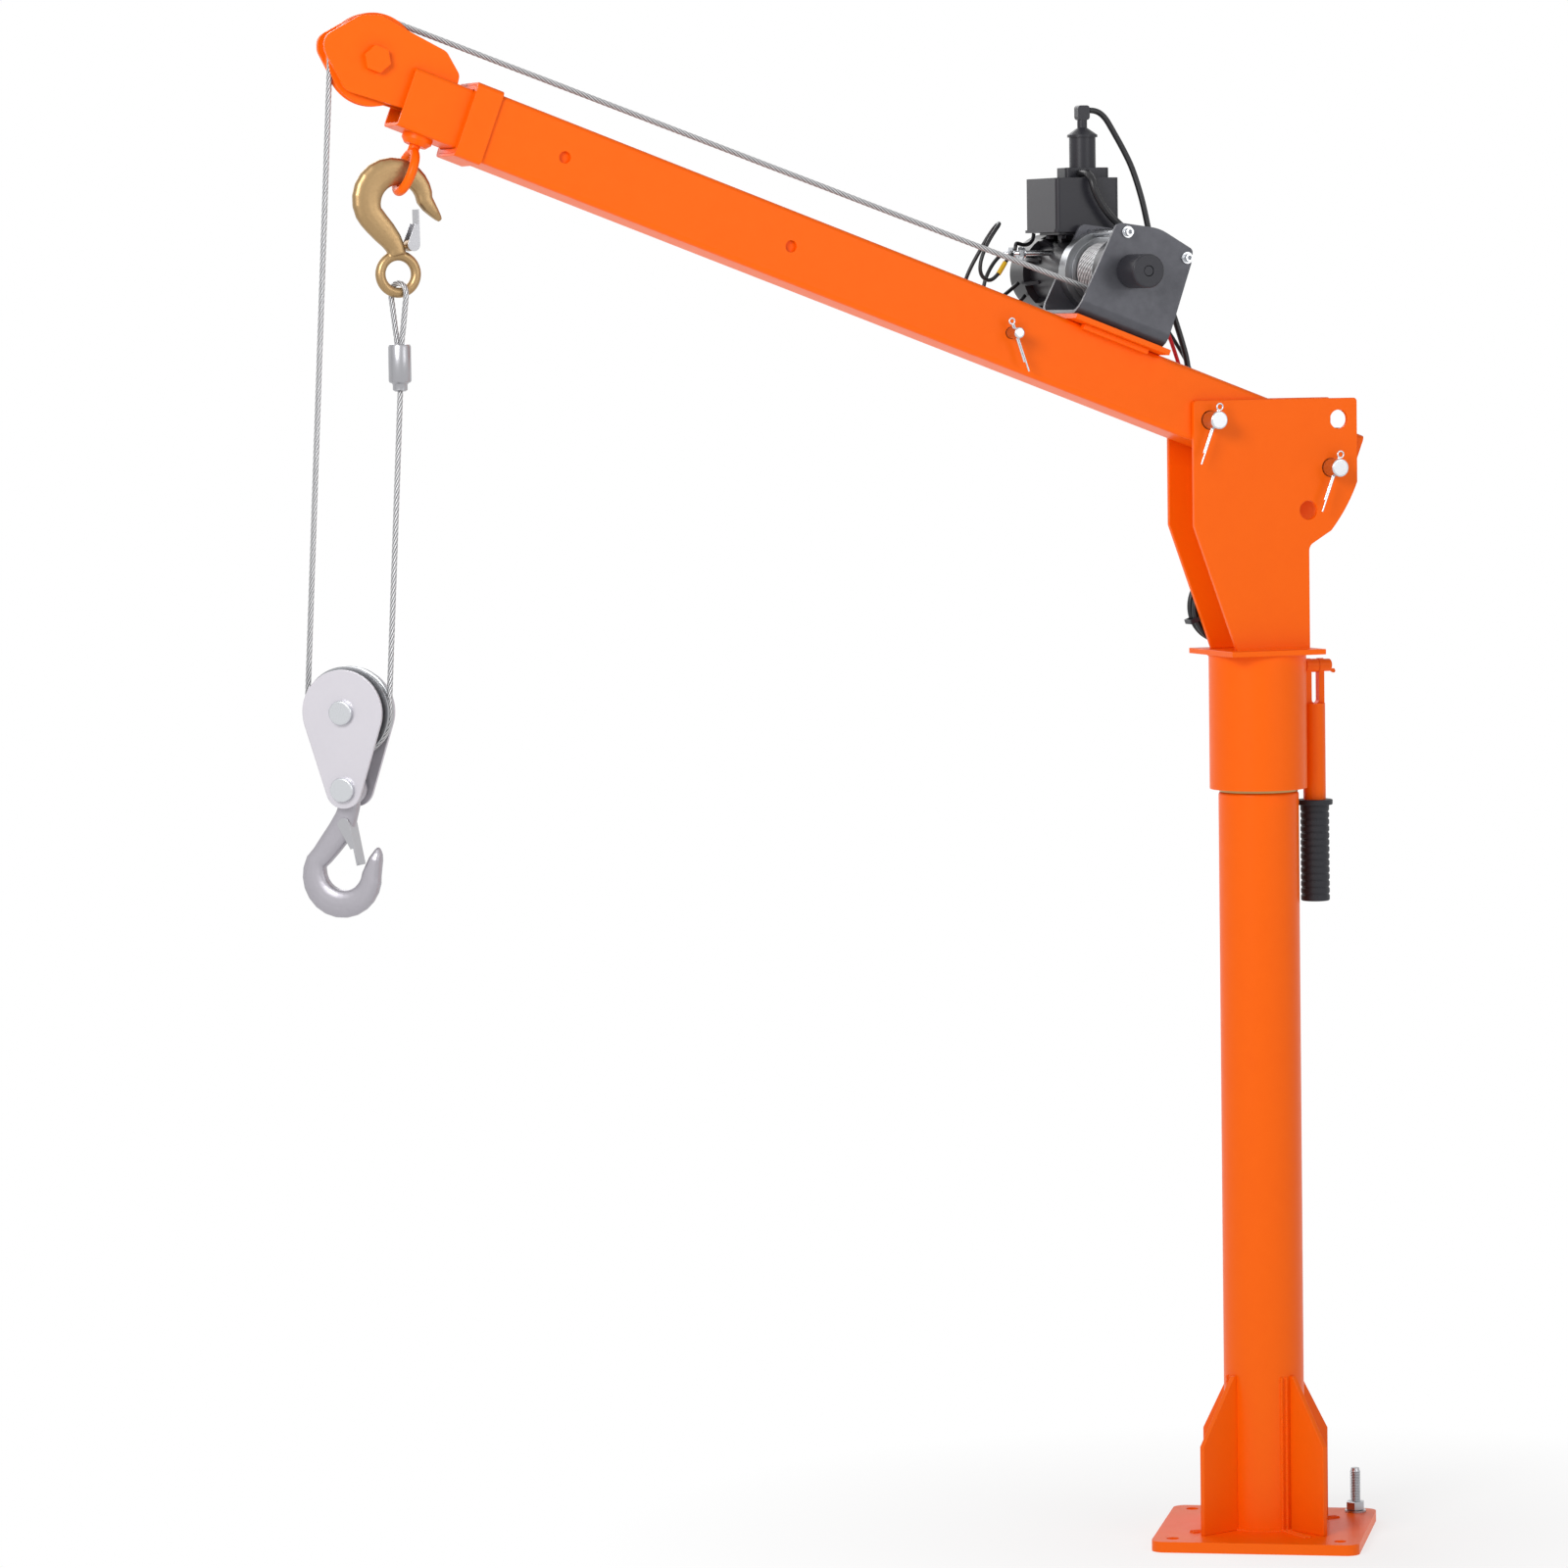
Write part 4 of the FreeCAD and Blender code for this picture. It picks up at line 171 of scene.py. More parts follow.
class ShaderGroups:
    """The shader node groups that the finishes share, each built once."""

    FINER = 7.3
    CELLS = 0.4
    # Painted shade: the near-black that crevices are darkened towards in place of real shadow.
    CREVICE_SHADE = (0.03, 0.03, 0.032, 1)

    def __init__(self) -> None:
        """Builds the groups."""
        self.mottle = self._mottle()
        self.relief = self._relief()
        self.lay = self._lay()

    @staticmethod
    def _group(name: str, inputs: dict, outputs: dict) -> tuple[NodeTree, Sequence, Node]:
        """Starts a group.

        Args:
            name: the group's name.
            inputs: its inputs' first values, where four numbers are a colour.
            outputs: its outputs' kinds, Color or Float.

        Returns:
            The group, the sockets that come in, and the node where it ends.
        """
        group = bpy.data.node_groups.new(name, "ShaderNodeTree")
        for label, value in inputs.items():
            kind = "Color" if isinstance(value, tuple) else "Float"
            socket = group.interface.new_socket(name=label, in_out="INPUT", socket_type="NodeSocket" + kind)
            socket.default_value = value
        for label, kind in outputs.items():
            group.interface.new_socket(name=label, in_out="OUTPUT", socket_type="NodeSocket" + kind)
        return group, group.nodes.new("NodeGroupInput").outputs, group.nodes.new("NodeGroupOutput")

    def _mottle(self) -> NodeTree:
        """Uneven colour and roughness over a surface, at two scales, with painted crevice shade darkening the colour
        where Hollow is set.
        """
        group, given, out = self._group(
            "Uneven colour", {"Colour": (1, 1, 1, 1), "Shade": (0, 0, 0, 1), "Patch": 8.0, "Strength": 0.3,
                              "Roughness": 0.4, "Spread": 0.05, "Hollow": 0.0},
            {"Colour": "Color", "Roughness": "Float"})
        place = add_node(group, "ShaderNodeTexCoord").outputs["Object"]
        broad = add_node(group, "ShaderNodeTexNoise", {"Detail": 4, "Scale": given["Patch"], "Vector": place})
        finer = sum_of(group, "MULTIPLY", given["Patch"], self.FINER)
        fine = add_node(group, "ShaderNodeTexNoise", {"Detail": 6, "Scale": finer, "Vector": place}).outputs["Fac"]
        both = sum_of(group, "MULTIPLY", broad.outputs["Fac"], fine)
        share = sum_of(group, "MULTIPLY", both, given["Strength"])
        mix = add_node(group, "ShaderNodeMix", {"Factor": share, 6: given["Colour"], 7: given["Shade"]},
                       data_type="RGBA")
        # Painted crevice shade: darkens the colour towards near-black by the Hollow mask.
        crevice_shaded = add_node(group, "ShaderNodeMix", {"Factor": given["Hollow"], 6: mix.outputs[2], 7: self.CREVICE_SHADE},
                        data_type="RGBA")
        wander = sum_of(group, "MULTIPLY_ADD", fine, given["Spread"], given["Roughness"])
        feed(group, out, {"Colour": crevice_shaded.outputs[2], "Roughness": wander})
        return group

    def _relief(self) -> NodeTree:
        """A fine grain's height, as on powder coat, castings and moulded plastic."""
        group, given, out = self._group("Surface grain", {"Grain": 900.0, "Pits": 0.0}, {"Height": "Float"})
        place = add_node(group, "ShaderNodeTexCoord").outputs["Object"]
        noise = add_node(group, "ShaderNodeTexNoise", {"Detail": 3, "Scale": given["Grain"], "Vector": place})
        coarser = sum_of(group, "MULTIPLY", given["Grain"], self.CELLS)
        cells = add_node(group, "ShaderNodeTexVoronoi", {"Scale": coarser, "Vector": place})
        height = sum_of(group, "MULTIPLY_ADD", cells.outputs["Distance"], given["Pits"], noise.outputs["Fac"])
        feed(group, out, {"Height": height})
        return group

    def _lay(self) -> NodeTree:
        """Fine parallel marks in one direction, as a tool or a plating line leaves."""
        group, given, out = self._group("Tool marks", {"Marks": 600.0}, {"Height": "Float"})
        place = add_node(group, "ShaderNodeTexCoord").outputs["Object"]
        wave = add_node(group, "ShaderNodeTexWave", {"Distortion": 3.0, "Detail": 3.0, "Scale": given["Marks"],
                                                     "Vector": place}, bands_direction="Y")
        feed(group, out, {"Height": wave.outputs["Fac"]})
        return group


@dataclass(frozen=True)
class Finish:
    """One finish: its colour, gloss and grain.

    Attributes:
        name: what a maker calls it.
        slot: the material slot of the crane's record that it stands for.
        colour: the colour, linear.
        shade: the colour that it wanders towards.
        metallic: 1 for bare metal.
        roughness: the least roughness.
        spread: how much rougher it gets in places.
        patch: how many colour patches to a metre.
        strength: how strong the patches are.
        grain: how many grains to a metre.
        pits: how much of the grain is cells.
        relief: how deep the grain is, in millimetres.
        marks: whether the grain is tool marks.
        gleam: how strongly a bare or painted surface mirrors, 0.5 for plain plastic.
        hollow: the attribute that says how deep in a crevice a point lies, if the mesh has one; the colour is darkened
            there as painted crevice shade.
    """

    BUMP = 0.6
    name: str
    slot: str
    colour: Point
    shade: Point
    metallic: float = 0.0
    roughness: float = 0.4
    spread: float = 0.08
    patch: float = 9.0
    strength: float = 0.5
    grain: float = 1200.0
    pits: float = 0.0
    relief: float = 0.02
    marks: bool = False
    gleam: float = 0.5
    hollow: str = ""

    def build(self, groups: ShaderGroups) -> Material:
        """Makes the material.

        Args:
            groups: the shared shader groups.

        Returns:
            The material.
        """
        material = bpy.data.materials.new(self.name)
        material.use_nodes = True
        tree = material.node_tree
        tone = add_node(tree, "ShaderNodeGroup", {
            "Colour": (*self.colour, 1), "Shade": (*self.shade, 1), "Patch": self.patch, "Strength": self.strength,
            "Roughness": self.roughness, "Spread": self.spread}, node_tree=groups.mottle)
        # Painted crevice shade: the mesh's hollow attribute darkens the colour in crevices.
        if self.hollow:
            deep = add_node(tree, "ShaderNodeAttribute", attribute_name=self.hollow)
            feed(tree, tone, {"Hollow": deep.outputs["Fac"]})
        grain = {"Marks": self.grain} if self.marks else {"Grain": self.grain, "Pits": self.pits}
        height = add_node(tree, "ShaderNodeGroup", grain, node_tree=groups.lay if self.marks else groups.relief)
        bump = add_node(tree, "ShaderNodeBump", {"Strength": self.BUMP, "Distance": self.relief * MM,
                                                 "Height": height.outputs["Height"]})
        feed(tree, tree.nodes["Principled BSDF"], {
            "Metallic": self.metallic, "Specular IOR Level": self.gleam, "Base Color": tone.outputs["Colour"],
            "Roughness": tone.outputs["Roughness"], "Normal": bump.outputs["Normal"]})
        return material


ORANGE = Finish("Orange powder coat", "orange_paint", (0.94, 0.132, 0.0015), (0.82, 0.085, 0.001), roughness=0.32,
                grain=700, relief=0.025, strength=0.4, gleam=0.14)
FRAME_BLACK = Finish("Satin black paint", "winch_black", (0.022, 0.022, 0.027), (0.045, 0.046, 0.054),
                     roughness=0.3, grain=1500, relief=0.012, gleam=0.3)
FRAME_GREY = Finish("Brushed grey black coat", "winch_black", (0.1, 0.101, 0.115), (0.05, 0.051, 0.06),
                    metallic=0.35, roughness=0.3, patch=14, strength=1.4, grain=420, relief=0.02, marks=True,
                    gleam=0.3)
MOTOR_BLACK = Finish("Black cast paint", "motor_black", (0.014, 0.014, 0.017), (0.03, 0.03, 0.034),
                     roughness=0.3, grain=900, pits=0.5, relief=0.05, gleam=0.25)
ZINC = Finish("Bright zinc plate", "bright_zinc", (0.62, 0.635, 0.66), (0.4, 0.41, 0.43), metallic=1.0,
              roughness=0.22, grain=500, relief=0.006, marks=True)
DRUM_ZINC = Finish("Dull plated drum", "bright_zinc", (0.36, 0.37, 0.385), (0.25, 0.255, 0.265), metallic=1.0,
                   roughness=0.3, grain=500, relief=0.008, marks=True)
DULL_ZINC = Finish("Dull latch plate", "bright_zinc", (0.44, 0.44, 0.46), (0.3, 0.3, 0.32), metallic=1.0,
                   roughness=0.28, grain=500, relief=0.008, marks=True)
GOLD = Finish("Gold passivated forging", "yellow_zinc", (0.4, 0.265, 0.13), (0.22, 0.135, 0.06), metallic=0.9,
              roughness=0.33, grain=420, pits=0.6, relief=0.12, patch=30)
FORGED = Finish("Silver grey forging", "forged_grey", (0.4, 0.385, 0.42), (0.27, 0.26, 0.29), metallic=0.7,
                roughness=0.36, grain=420, pits=0.6, relief=0.1, patch=30)
CHEEK = Finish("Silver sprayed plate", "cheek_silver", (0.58, 0.56, 0.6), (0.46, 0.44, 0.48), metallic=0.6,
               roughness=0.38, grain=1800, pits=0.2, relief=0.015, patch=20)
# The strands' hollow attribute paints crevice shade between them.
STRAND = Finish("Galvanised strand", "wire_rope", (0.56, 0.56, 0.57), (0.36, 0.36, 0.37), metallic=0.6,
                roughness=0.36, grain=1400, relief=0.03, patch=120, strength=0.8, hollow="hollow")
FERRULE = Finish("Pressed ferrule", "wire_rope", (0.4, 0.4, 0.42), (0.24, 0.24, 0.26), metallic=1.0,
                 roughness=0.28, grain=300, relief=0.01, marks=True)
STEEL = Finish("Machined steel", "machined_steel", (0.42, 0.42, 0.44), (0.3, 0.29, 0.28), metallic=1.0,
               roughness=0.3, grain=500, relief=0.01, marks=True)
BRONZE = Finish("Bearing bronze", "bearing_bronze", (0.5, 0.3, 0.12), (0.36, 0.2, 0.08), metallic=1.0,
                roughness=0.32, grain=500, relief=0.01, marks=True)
RUBBER = Finish("Ribbed grip rubber", "grip_rubber", (0.018, 0.019, 0.024), (0.035, 0.036, 0.042),
                roughness=0.5, grain=1600, pits=0.4, relief=0.04, gleam=0.3)
PLASTIC = Finish("Textured box plastic", "box_plastic", (0.022, 0.022, 0.028), (0.045, 0.045, 0.054),
                 roughness=0.32, grain=2200, pits=0.6, relief=0.03, gleam=0.3)
CABLE = Finish("Cable sheath", "cable_black", (0.01, 0.01, 0.012), (0.024, 0.024, 0.027),
               roughness=0.32, grain=1500, relief=0.02, gleam=0.4)
RED_CABLE = Finish("Red cable sheath", "cable_black", (0.62, 0.006, 0.012), (0.42, 0.004, 0.008),
                   roughness=0.38, grain=1500, relief=0.02, gleam=0.3)
YELLOW_SLEEVE = Finish("Yellow sleeve", "cable_black", (0.8, 0.5, 0.02), (0.6, 0.36, 0.015),
                       roughness=0.4, grain=1500, relief=0.02, gleam=0.3)
FINISHES = (ORANGE, FRAME_BLACK, FRAME_GREY, MOTOR_BLACK, ZINC, DRUM_ZINC, DULL_ZINC, GOLD, FORGED, CHEEK, STRAND,
            FERRULE, STEEL, BRONZE, RUBBER, PLASTIC, CABLE, RED_CABLE, YELLOW_SLEEVE)
BY_SLOT = {finish.slot: finish for finish in reversed(FINISHES)}


def settle(source: Object) -> Mesh:
    """Turns an object with its modifiers into a plain mesh in the crane's frame, and removes the object."""
    bpy.context.view_layer.update()
    seen = source.evaluated_get(bpy.context.evaluated_depsgraph_get())
    mesh = bpy.data.meshes.new_from_object(seen)
    mesh.transform(source.matrix_world)
    bpy.data.objects.remove(source)
    return mesh


def spline(points: Sequence[Sequence[float]], kind: str = "NURBS") -> Object:
    """An open curve through or along points.

    Args:
        points: the points, in millimetres.
        kind: NURBS for a limp lead, or POLY for a worked-out line.

    Returns:
        The curve's object, with no thickness.
    """
    data = bpy.data.curves.new("line", "CURVE")
    data.dimensions = "3D"
    line = data.splines.new(kind)
    line.points.add(len(points) - 1)
    for knot, point in zip(line.points, points):
        knot.co = (*metres(point), 1)
    if kind == "NURBS":
        line.order_u = 3
        line.use_endpoint_u = True
        line.resolution_u = 8
    return linked("line", data)


def ring(radius: float, height: float, steps: int) -> list[Vector]:
    """A level ring of points about the axis."""
    return [Vector((radius * cos(2 * pi * index / steps), radius * sin(2 * pi * index / steps),
                    height)) for index in range(steps)]


def loft(rings: Sequence[Sequence[Vector]], capped: bool) -> Mesh:
    """Skins closed rings of points, one after another.

    Args:
        rings: the rings, each with as many points.
        capped: whether the end rings are filled.

    Returns:
        The mesh, its faces turned outwards.
    """
    mesh = bpy.data.meshes.new("lofted")
    work = bmesh.new()
    rows = [[work.verts.new(point) for point in points] for points in rings]
    for low, high in zip(rows, rows[1:]):
        for index in range(len(low)):
            after = (index + 1) % len(low)
            work.faces.new((low[index], low[after], high[after], high[index]))
    if capped:
        work.faces.new(rows[0])
        work.faces.new(list(reversed(rows[-1])))
    bmesh.ops.remove_doubles(work, verts=work.verts, dist=SAME_POINT)
    bmesh.ops.recalc_face_normals(work, faces=work.faces)
    work.to_mesh(mesh)
    work.free()
    return mesh


def lathe(outline: Sequence[tuple[float, float]], place: Matrix, steps: int = 48) -> Mesh:
    """A turned solid, from an outline that starts and ends on its axis.

    Args:
        outline: radii and heights, in millimetres.
        place: where the axis' foot and direction are, in metres.
        steps: facets round the axis.

    Returns:
        The mesh.
    """
    return loft([[place @ (point * MM) for point in ring(radius, height, steps)] for radius, height in outline],
                False)


def hexagon(radius: float, low: float, high: float, place: Matrix) -> Mesh:
    """A chamfered hexagon nut or head.

    Args:
        radius: from its axis to a corner, in millimetres.
        low: its foot, in millimetres along its axis.
        high: its top.
        place: its axis, in metres.

    Returns:
        The mesh.
    """
    edge = radius * 0.12
    rows = ((edge, low), (0, low + edge * 0.6), (0, high - edge * 0.6), (edge, high))
    return loft([[place @ (point * MM) for point in ring(radius - shrink, height, 6)] for shrink, height in rows],
                True)


class Workshop:
    """What every sub-assembly is made with: the frame and the materials."""

    def __init__(self, frame: dict) -> None:
        """Builds the materials.

        Args:
            frame: the loaded frame.
        """
        self.frame = frame
        groups = ShaderGroups()
        self.materials = {finish: finish.build(groups) for finish in FINISHES}
        self.count = 0

    def paint(self, mesh: Mesh, finish: Finish) -> None:
        """Gives a whole mesh one finish, with smooth shading."""
        mesh.materials.clear()
        mesh.materials.append(self.materials[finish])
        for face in mesh.polygons:
            face.use_smooth = True
            face.material_index = 0

    def add(self, name: str, mesh: Mesh, finish: Finish) -> Object:
        """Makes a piece of a mesh that is already in place.

        Args:
            name: the piece's name.
            mesh: its mesh.
            finish: its finish.

        Returns:
            The piece.
        """
        self.paint(mesh, finish)
        piece = linked(name, mesh)
        self.count += 1
        return piece

    def tube(self, name: str, points: Sequence[Sequence[float]], thick: float, finish: Finish) -> Object:
        """A round lead along given points.

        Args:
            name: the piece's name.
            points: the route, in millimetres.
            thick: the lead's diameter, in millimetres.
            finish: its finish.

        Returns:
            The piece, as a mesh with closed ends.
        """
        line = spline(points)
        line.data.bevel_depth = thick / 2 * MM
        line.data.bevel_resolution = 3
        line.data.use_fill_caps = True
        mesh = settle(line)
        weld(mesh)
        return self.add(name, mesh, finish)


def grown(points: Sequence[Vector], tree: NodeTree, socket: str, value: float) -> Mesh:
    """What a geometry tree makes of a line.

    Args:
        points: the line's points, in millimetres.
        tree: the geometry tree.
        socket: the identifier of the input to set.
        value: that input's value.

    Returns:
        The mesh.
    """
    line = spline(points, "POLY")
    modifier = line.modifiers.new("grow", "NODES")
    modifier.node_group = tree
    modifier[socket] = value
    return settle(line)


def weld(mesh: Mesh) -> None:
    """Merges a mesh's doubled points and turns its faces outwards."""
    work = bmesh.new()
    work.from_mesh(mesh)
    bmesh.ops.remove_doubles(work, verts=work.verts, dist=MERGED)
    bmesh.ops.recalc_face_normals(work, faces=work.faces)
    work.to_mesh(mesh)
    work.free()


def join_meshes(meshes: Sequence[Mesh]) -> Mesh:
    """Puts several meshes into one.

    Args:
        meshes: the meshes, all in the crane's frame.

    Returns:
        One mesh.
    """
    whole = bpy.data.meshes.new("joined")
    work = bmesh.new()
    for mesh in meshes:
        work.from_mesh(mesh)
    work.to_mesh(whole)
    work.free()
    return whole


class LaidRope:
    """A wire rope of six strands laid round a core, made by one Geometry Nodes tree."""

    THICK = 6.1
    STRANDS = 6
    LAY = 38.0
    STEP = 2.6
    # The depths, as shares of the rope's radius, between which the strands get painted crevice shade.
    LAID_IN = 0.7
    PROUD = 0.98
    STRAND_SHARE = 0.35
    STRAND_FACETS = 7

    def __init__(self, shop: Workshop) -> None:
        """Builds the tree.

        Args:
            shop: the workshop.
        """
        self.shop = shop
        self.tree, self.sockets = geometry_tree("Laid rope", {
            "Rope radius": self.THICK / 2 * MM, "Lay length": self.LAY * MM, "Step": self.STEP * MM})
        self._wire(self.tree)

    def _wire(self, tree: NodeTree) -> None:
        """Adds the tree's nodes and links.

        Args:
            tree: the node tree.
        """
        given = tree.nodes.new("NodeGroupInput").outputs
        radius = given["Rope radius"]
        even = add_node(tree, "GeometryNodeResampleCurve", {"Curve": given["Line"], "Length": given["Step"]},
                        mode="LENGTH").outputs["Curve"]
        copies = add_node(tree, "GeometryNodeDuplicateElements", {"Amount": self.STRANDS, "Geometry": even},
                          domain="SPLINE").outputs
        along = add_node(tree, "GeometryNodeSplineParameter").outputs["Length"]
        turns = sum_of(tree, "DIVIDE", along, given["Lay length"])
        part = sum_of(tree, "DIVIDE", copies["Duplicate Index"], float(self.STRANDS))
        turn = add_node(tree, "ShaderNodeVectorRotate", {
            "Vector": add_node(tree, "GeometryNodeInputNormal").outputs["Normal"],
            "Axis": add_node(tree, "GeometryNodeInputTangent").outputs["Tangent"],
            "Angle": sum_of(tree, "MULTIPLY", sum_of(tree, "ADD", turns, part), 2 * pi)},
            rotation_type="AXIS_ANGLE")
        shift = add_node(tree, "ShaderNodeVectorMath", {
            0: turn.outputs["Vector"], "Scale": sum_of(tree, "MULTIPLY", radius, 2 / 3)}, operation="SCALE")
        move = add_node(tree, "GeometryNodeSetPosition", {
            "Geometry": copies["Geometry"], "Offset": shift.outputs["Vector"]})
        section = add_node(tree, "GeometryNodeCurvePrimitiveCircle", {
            "Resolution": self.STRAND_FACETS, "Radius": sum_of(tree, "MULTIPLY", radius, self.STRAND_SHARE)})
        skin = add_node(tree, "GeometryNodeCurveToMesh", {
            "Fill Caps": True, "Curve": move.outputs["Geometry"], "Profile Curve": section.outputs["Curve"]})
        core = add_node(tree, "GeometryNodeCurveToMesh", {"Curve": even})
        # How deep in the lay each point lies, stored for the strand material to paint crevice shade with.
        near = add_node(tree, "GeometryNodeProximity", {"Geometry": core.outputs["Mesh"]}, target_element="EDGES")
        deep = add_node(tree, "ShaderNodeMapRange", {
            "Value": near.outputs["Distance"], "From Max": sum_of(tree, "MULTIPLY", radius, self.LAID_IN),
            "From Min": sum_of(tree, "MULTIPLY", radius, self.PROUD)})
        mark = add_node(tree, "GeometryNodeStoreNamedAttribute", {
            "Name": STRAND.hollow, "Geometry": skin.outputs["Mesh"], "Value": deep.outputs["Result"]},
            data_type="FLOAT", domain="POINT")
        end_tree(tree, mark.outputs["Geometry"], self.shop.materials[STRAND])

    def make(self, name: str, points: Sequence[Sequence[float]]) -> Object:
        """One stretch of rope.

        Args:
            name: the piece's name.
            points: its centre line, in millimetres.

        Returns:
            The piece.
        """
        mesh = grown(points, self.tree, self.sockets["Step"], self.STEP * MM)
        weld(mesh)
        return self.shop.add(name, mesh, STRAND)


def arc(centre: Vector, first: Vector, last: Vector, axis: Vector, steps: int) -> list[Vector]:
    """Points of an arc about a centre.

    Args:
        centre: its centre.
        first: its first point.
        last: its last point.
        axis: the axis that it turns about.
        steps: how many steps.

    Returns:
        The points, the ends included.
    """
    out = first - centre
    angle = out.angle(last - centre)
    return [centre + Matrix.Rotation(angle * index / steps, 3, axis) @ out for index in range(steps + 1)]


@dataclass
class BoomFrame:
    """The boom's own frame: X towards the tip, Y towards the near side, Z square to both."""

    pivot: Point = (-71, 0, 1246)
    tilt: float = 20.7

    def at(self, along: float, near: float, rise: float) -> Vector:
        """A point of the boom in the crane's frame, in millimetres."""
        angle = radians(self.tilt)
        ahead = Vector((-cos(angle), 0, sin(angle)))
        up = Vector((sin(angle), 0, cos(angle)))
        return Vector(self.pivot) + ahead * along - Vector((0, 1, 0)) * near + up * rise


@dataclass
class Rope:
    """The wire rope: drum, run, tip, two falls, block and eye."""

    FERRULE_OUTLINE = ((0, 0), (5.5, 0), (7.8, 1.5), (7.8, 7), (8.8, 8.6), (11, 9.4), (12, 11), (12, 47),
                       (10.9, 49.3), (7.5, 50), (0, 50))
    STEPS = 40
    CORNER = 40
    boom: BoomFrame = field(default_factory=BoomFrame)
    drum_along: float = 150
    drum_rise: float = 118
    wound_radius: float = 30.25
    turns: float = 7
    drum_width: float = 52
    play: float = 0.5
    tip: Point = (-1013.07, 0, 1639.93)
    tip_radius: float = 45.5
    block: Point = (-1051, 0, 958)
    block_turn: float = -39.9
    block_radius: float = 46.5
    ring_level: float = 1502.5
    eye: Point = (-988, 0, 1416.0)
    eye_bar: float = 11
    eye_ring: float = 19.5
    eye_turn: float = 33
    ferrule_top: float = 1343.0
    ferrule_foot: float = 1293.0
    stub: float = 14

    def _drum_line(self) -> tuple[list[Vector], Vector]:
        """The winding's points and the point where the rope leaves.

        Returns:
            The points from the far end to the leaving point, and that point.
        """
        along, rise = self.tip_local()
        axle = (along - self.drum_along, rise - self.drum_rise)
        lean = atan2(axle[1], axle[0]) + asin((self.wound_radius + self.tip_radius) / hypot(*axle))
        pitch = (self.drum_width - LaidRope.THICK - 2 * self.play) / self.turns
        start = (self.drum_width - LaidRope.THICK) / 2 - self.play
        steps = int(self.turns * 36)
        points = []
        for index in range(steps, -1, -1):
            angle = 2 * pi * self.turns * index / steps
            turned = angle - lean
            points.append(self.boom.at(self.drum_along - self.wound_radius * sin(turned),
                                       start - pitch * angle / (2 * pi),
                                       self.drum_rise - self.wound_radius * cos(turned)))
        self.lean = lean
        return points, points[-1]

    def tip_local(self) -> tuple[float, float]:
        """The tip sheave's axle along the boom and above its pivot line."""
        gap = Vector(self.tip) - Vector(self.boom.pivot)
        angle = radians(self.boom.tilt)
        return (-gap.x * cos(angle) + gap.z * sin(angle), gap.x * sin(angle) + gap.z * cos(angle))

    def make(self, rope: LaidRope) -> None:
        """Makes each stretch, and lets the stretches on the drum, the block wheel and the hook's eye ride with their
        bodies.

        Args:
            rope: the rope maker.
        """
        winding, leave = self._drum_line()
        piece = rope.make("rope_on_drum", winding)
        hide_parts("rope_winding")
        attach(piece, "drum")

        tip = Vector(self.tip)
        top_angle = self.lean + pi / 2
        along, rise = self.tip_local()
        top = self.boom.at(along + self.tip_radius * cos(top_angle), 0,
                           rise + self.tip_radius * sin(top_angle))
        run = rope.make("rope_along_boom", straight(leave, top, self.STEPS))
        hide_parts("rope_top_run")
        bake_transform(run)

        turn = Matrix.Rotation(radians(self.block_turn), 3, "Z")
        middle = Vector(self.block)
        hoist = middle + turn @ Vector((-self.block_radius, 0, 0))
        back = middle + turn @ Vector((self.block_radius, 0, 0))
        gap = Vector((hoist.x - tip.x, 0, hoist.z + self.stub - tip.z))
        fall = atan2(gap.z, gap.x) - acos(self.tip_radius / gap.length)
        side = tip + Vector((cos(fall), 0, sin(fall))) * self.tip_radius
        sheave = arc(tip, top, side, Vector((0, -1, 0)), self.STEPS)
        lower = hoist + Vector((0, 0, self.stub))
        split = side.lerp(lower, (side.z - self.ring_level) / (side.z - lower.z))
        over = rope.make("rope_over_tip_wheel", sheave + straight(side, split, 12)[1:])
        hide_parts("rope_over_tip")
        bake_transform(over)

        down = rope.make("rope_hoist_fall", straight(split, lower, self.STEPS))
        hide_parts("hoist_fall")
        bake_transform(down)

        upper = back + Vector((0, 0, self.stub))
        axis = turn @ Vector((0, -1, 0))
        bottom = middle - Vector((0, 0, self.block_radius))
        bend = arc(middle, hoist, bottom, axis, 20) + arc(middle, bottom, back, axis, 20)[1:]
        piece = rope.make("rope_round_block_wheel", [lower, *bend, upper])
        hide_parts("rope_round_block")
        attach(piece, "block")

        foot = Vector((self.eye[0], 0, self.ferrule_foot))
        piece = rope.make("rope_return_fall", straight(upper, foot, self.STEPS))
        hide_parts("return_fall")
        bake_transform(piece)
        self._eye(rope)

    def _eye(self, rope: LaidRope) -> None:
        """The loop through the hook's eye with its pressed ferrule.

        Args:
            rope: the rope maker.
        """
        x = self.eye[0]
        half = LaidRope.THICK / 2 + 0.15
        turn = radians(self.eye_turn)
        leg = self.eye_bar / 2 / cos(turn) + half + 0.4
        shoulder = self.eye[2] - self.eye_ring
        low = self.ferrule_top
        rows = [(half, low - 6), (half, low), (half + 0.4, low + 6), (half + 2.2, low + 16),
                (leg - 1.6, shoulder - 14), (leg - 0.3, shoulder - 6), (leg, shoulder)]
        crown = [(leg * cos(pi * index / 16), shoulder + leg * sin(pi * index / 16))
                 for index in range(1, 16)]
        round_it = rows + crown + [(-across, height) for across, height in reversed(rows)]
        loop = rope.make("rope_eye_loop", [Vector((x + across * sin(turn), -across * cos(turn), height))
                                           for across, height in round_it])
        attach(loop, "hook_line")
        place = Matrix.Translation(metres((x, 0, self.ferrule_foot)))
        ferrule = rope.shop.add("rope_ferrule", lathe(self.FERRULE_OUTLINE, place), FERRULE)
        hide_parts("rope_eye")
        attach(ferrule, "hook_line")
        sharpen(ferrule, self.CORNER)


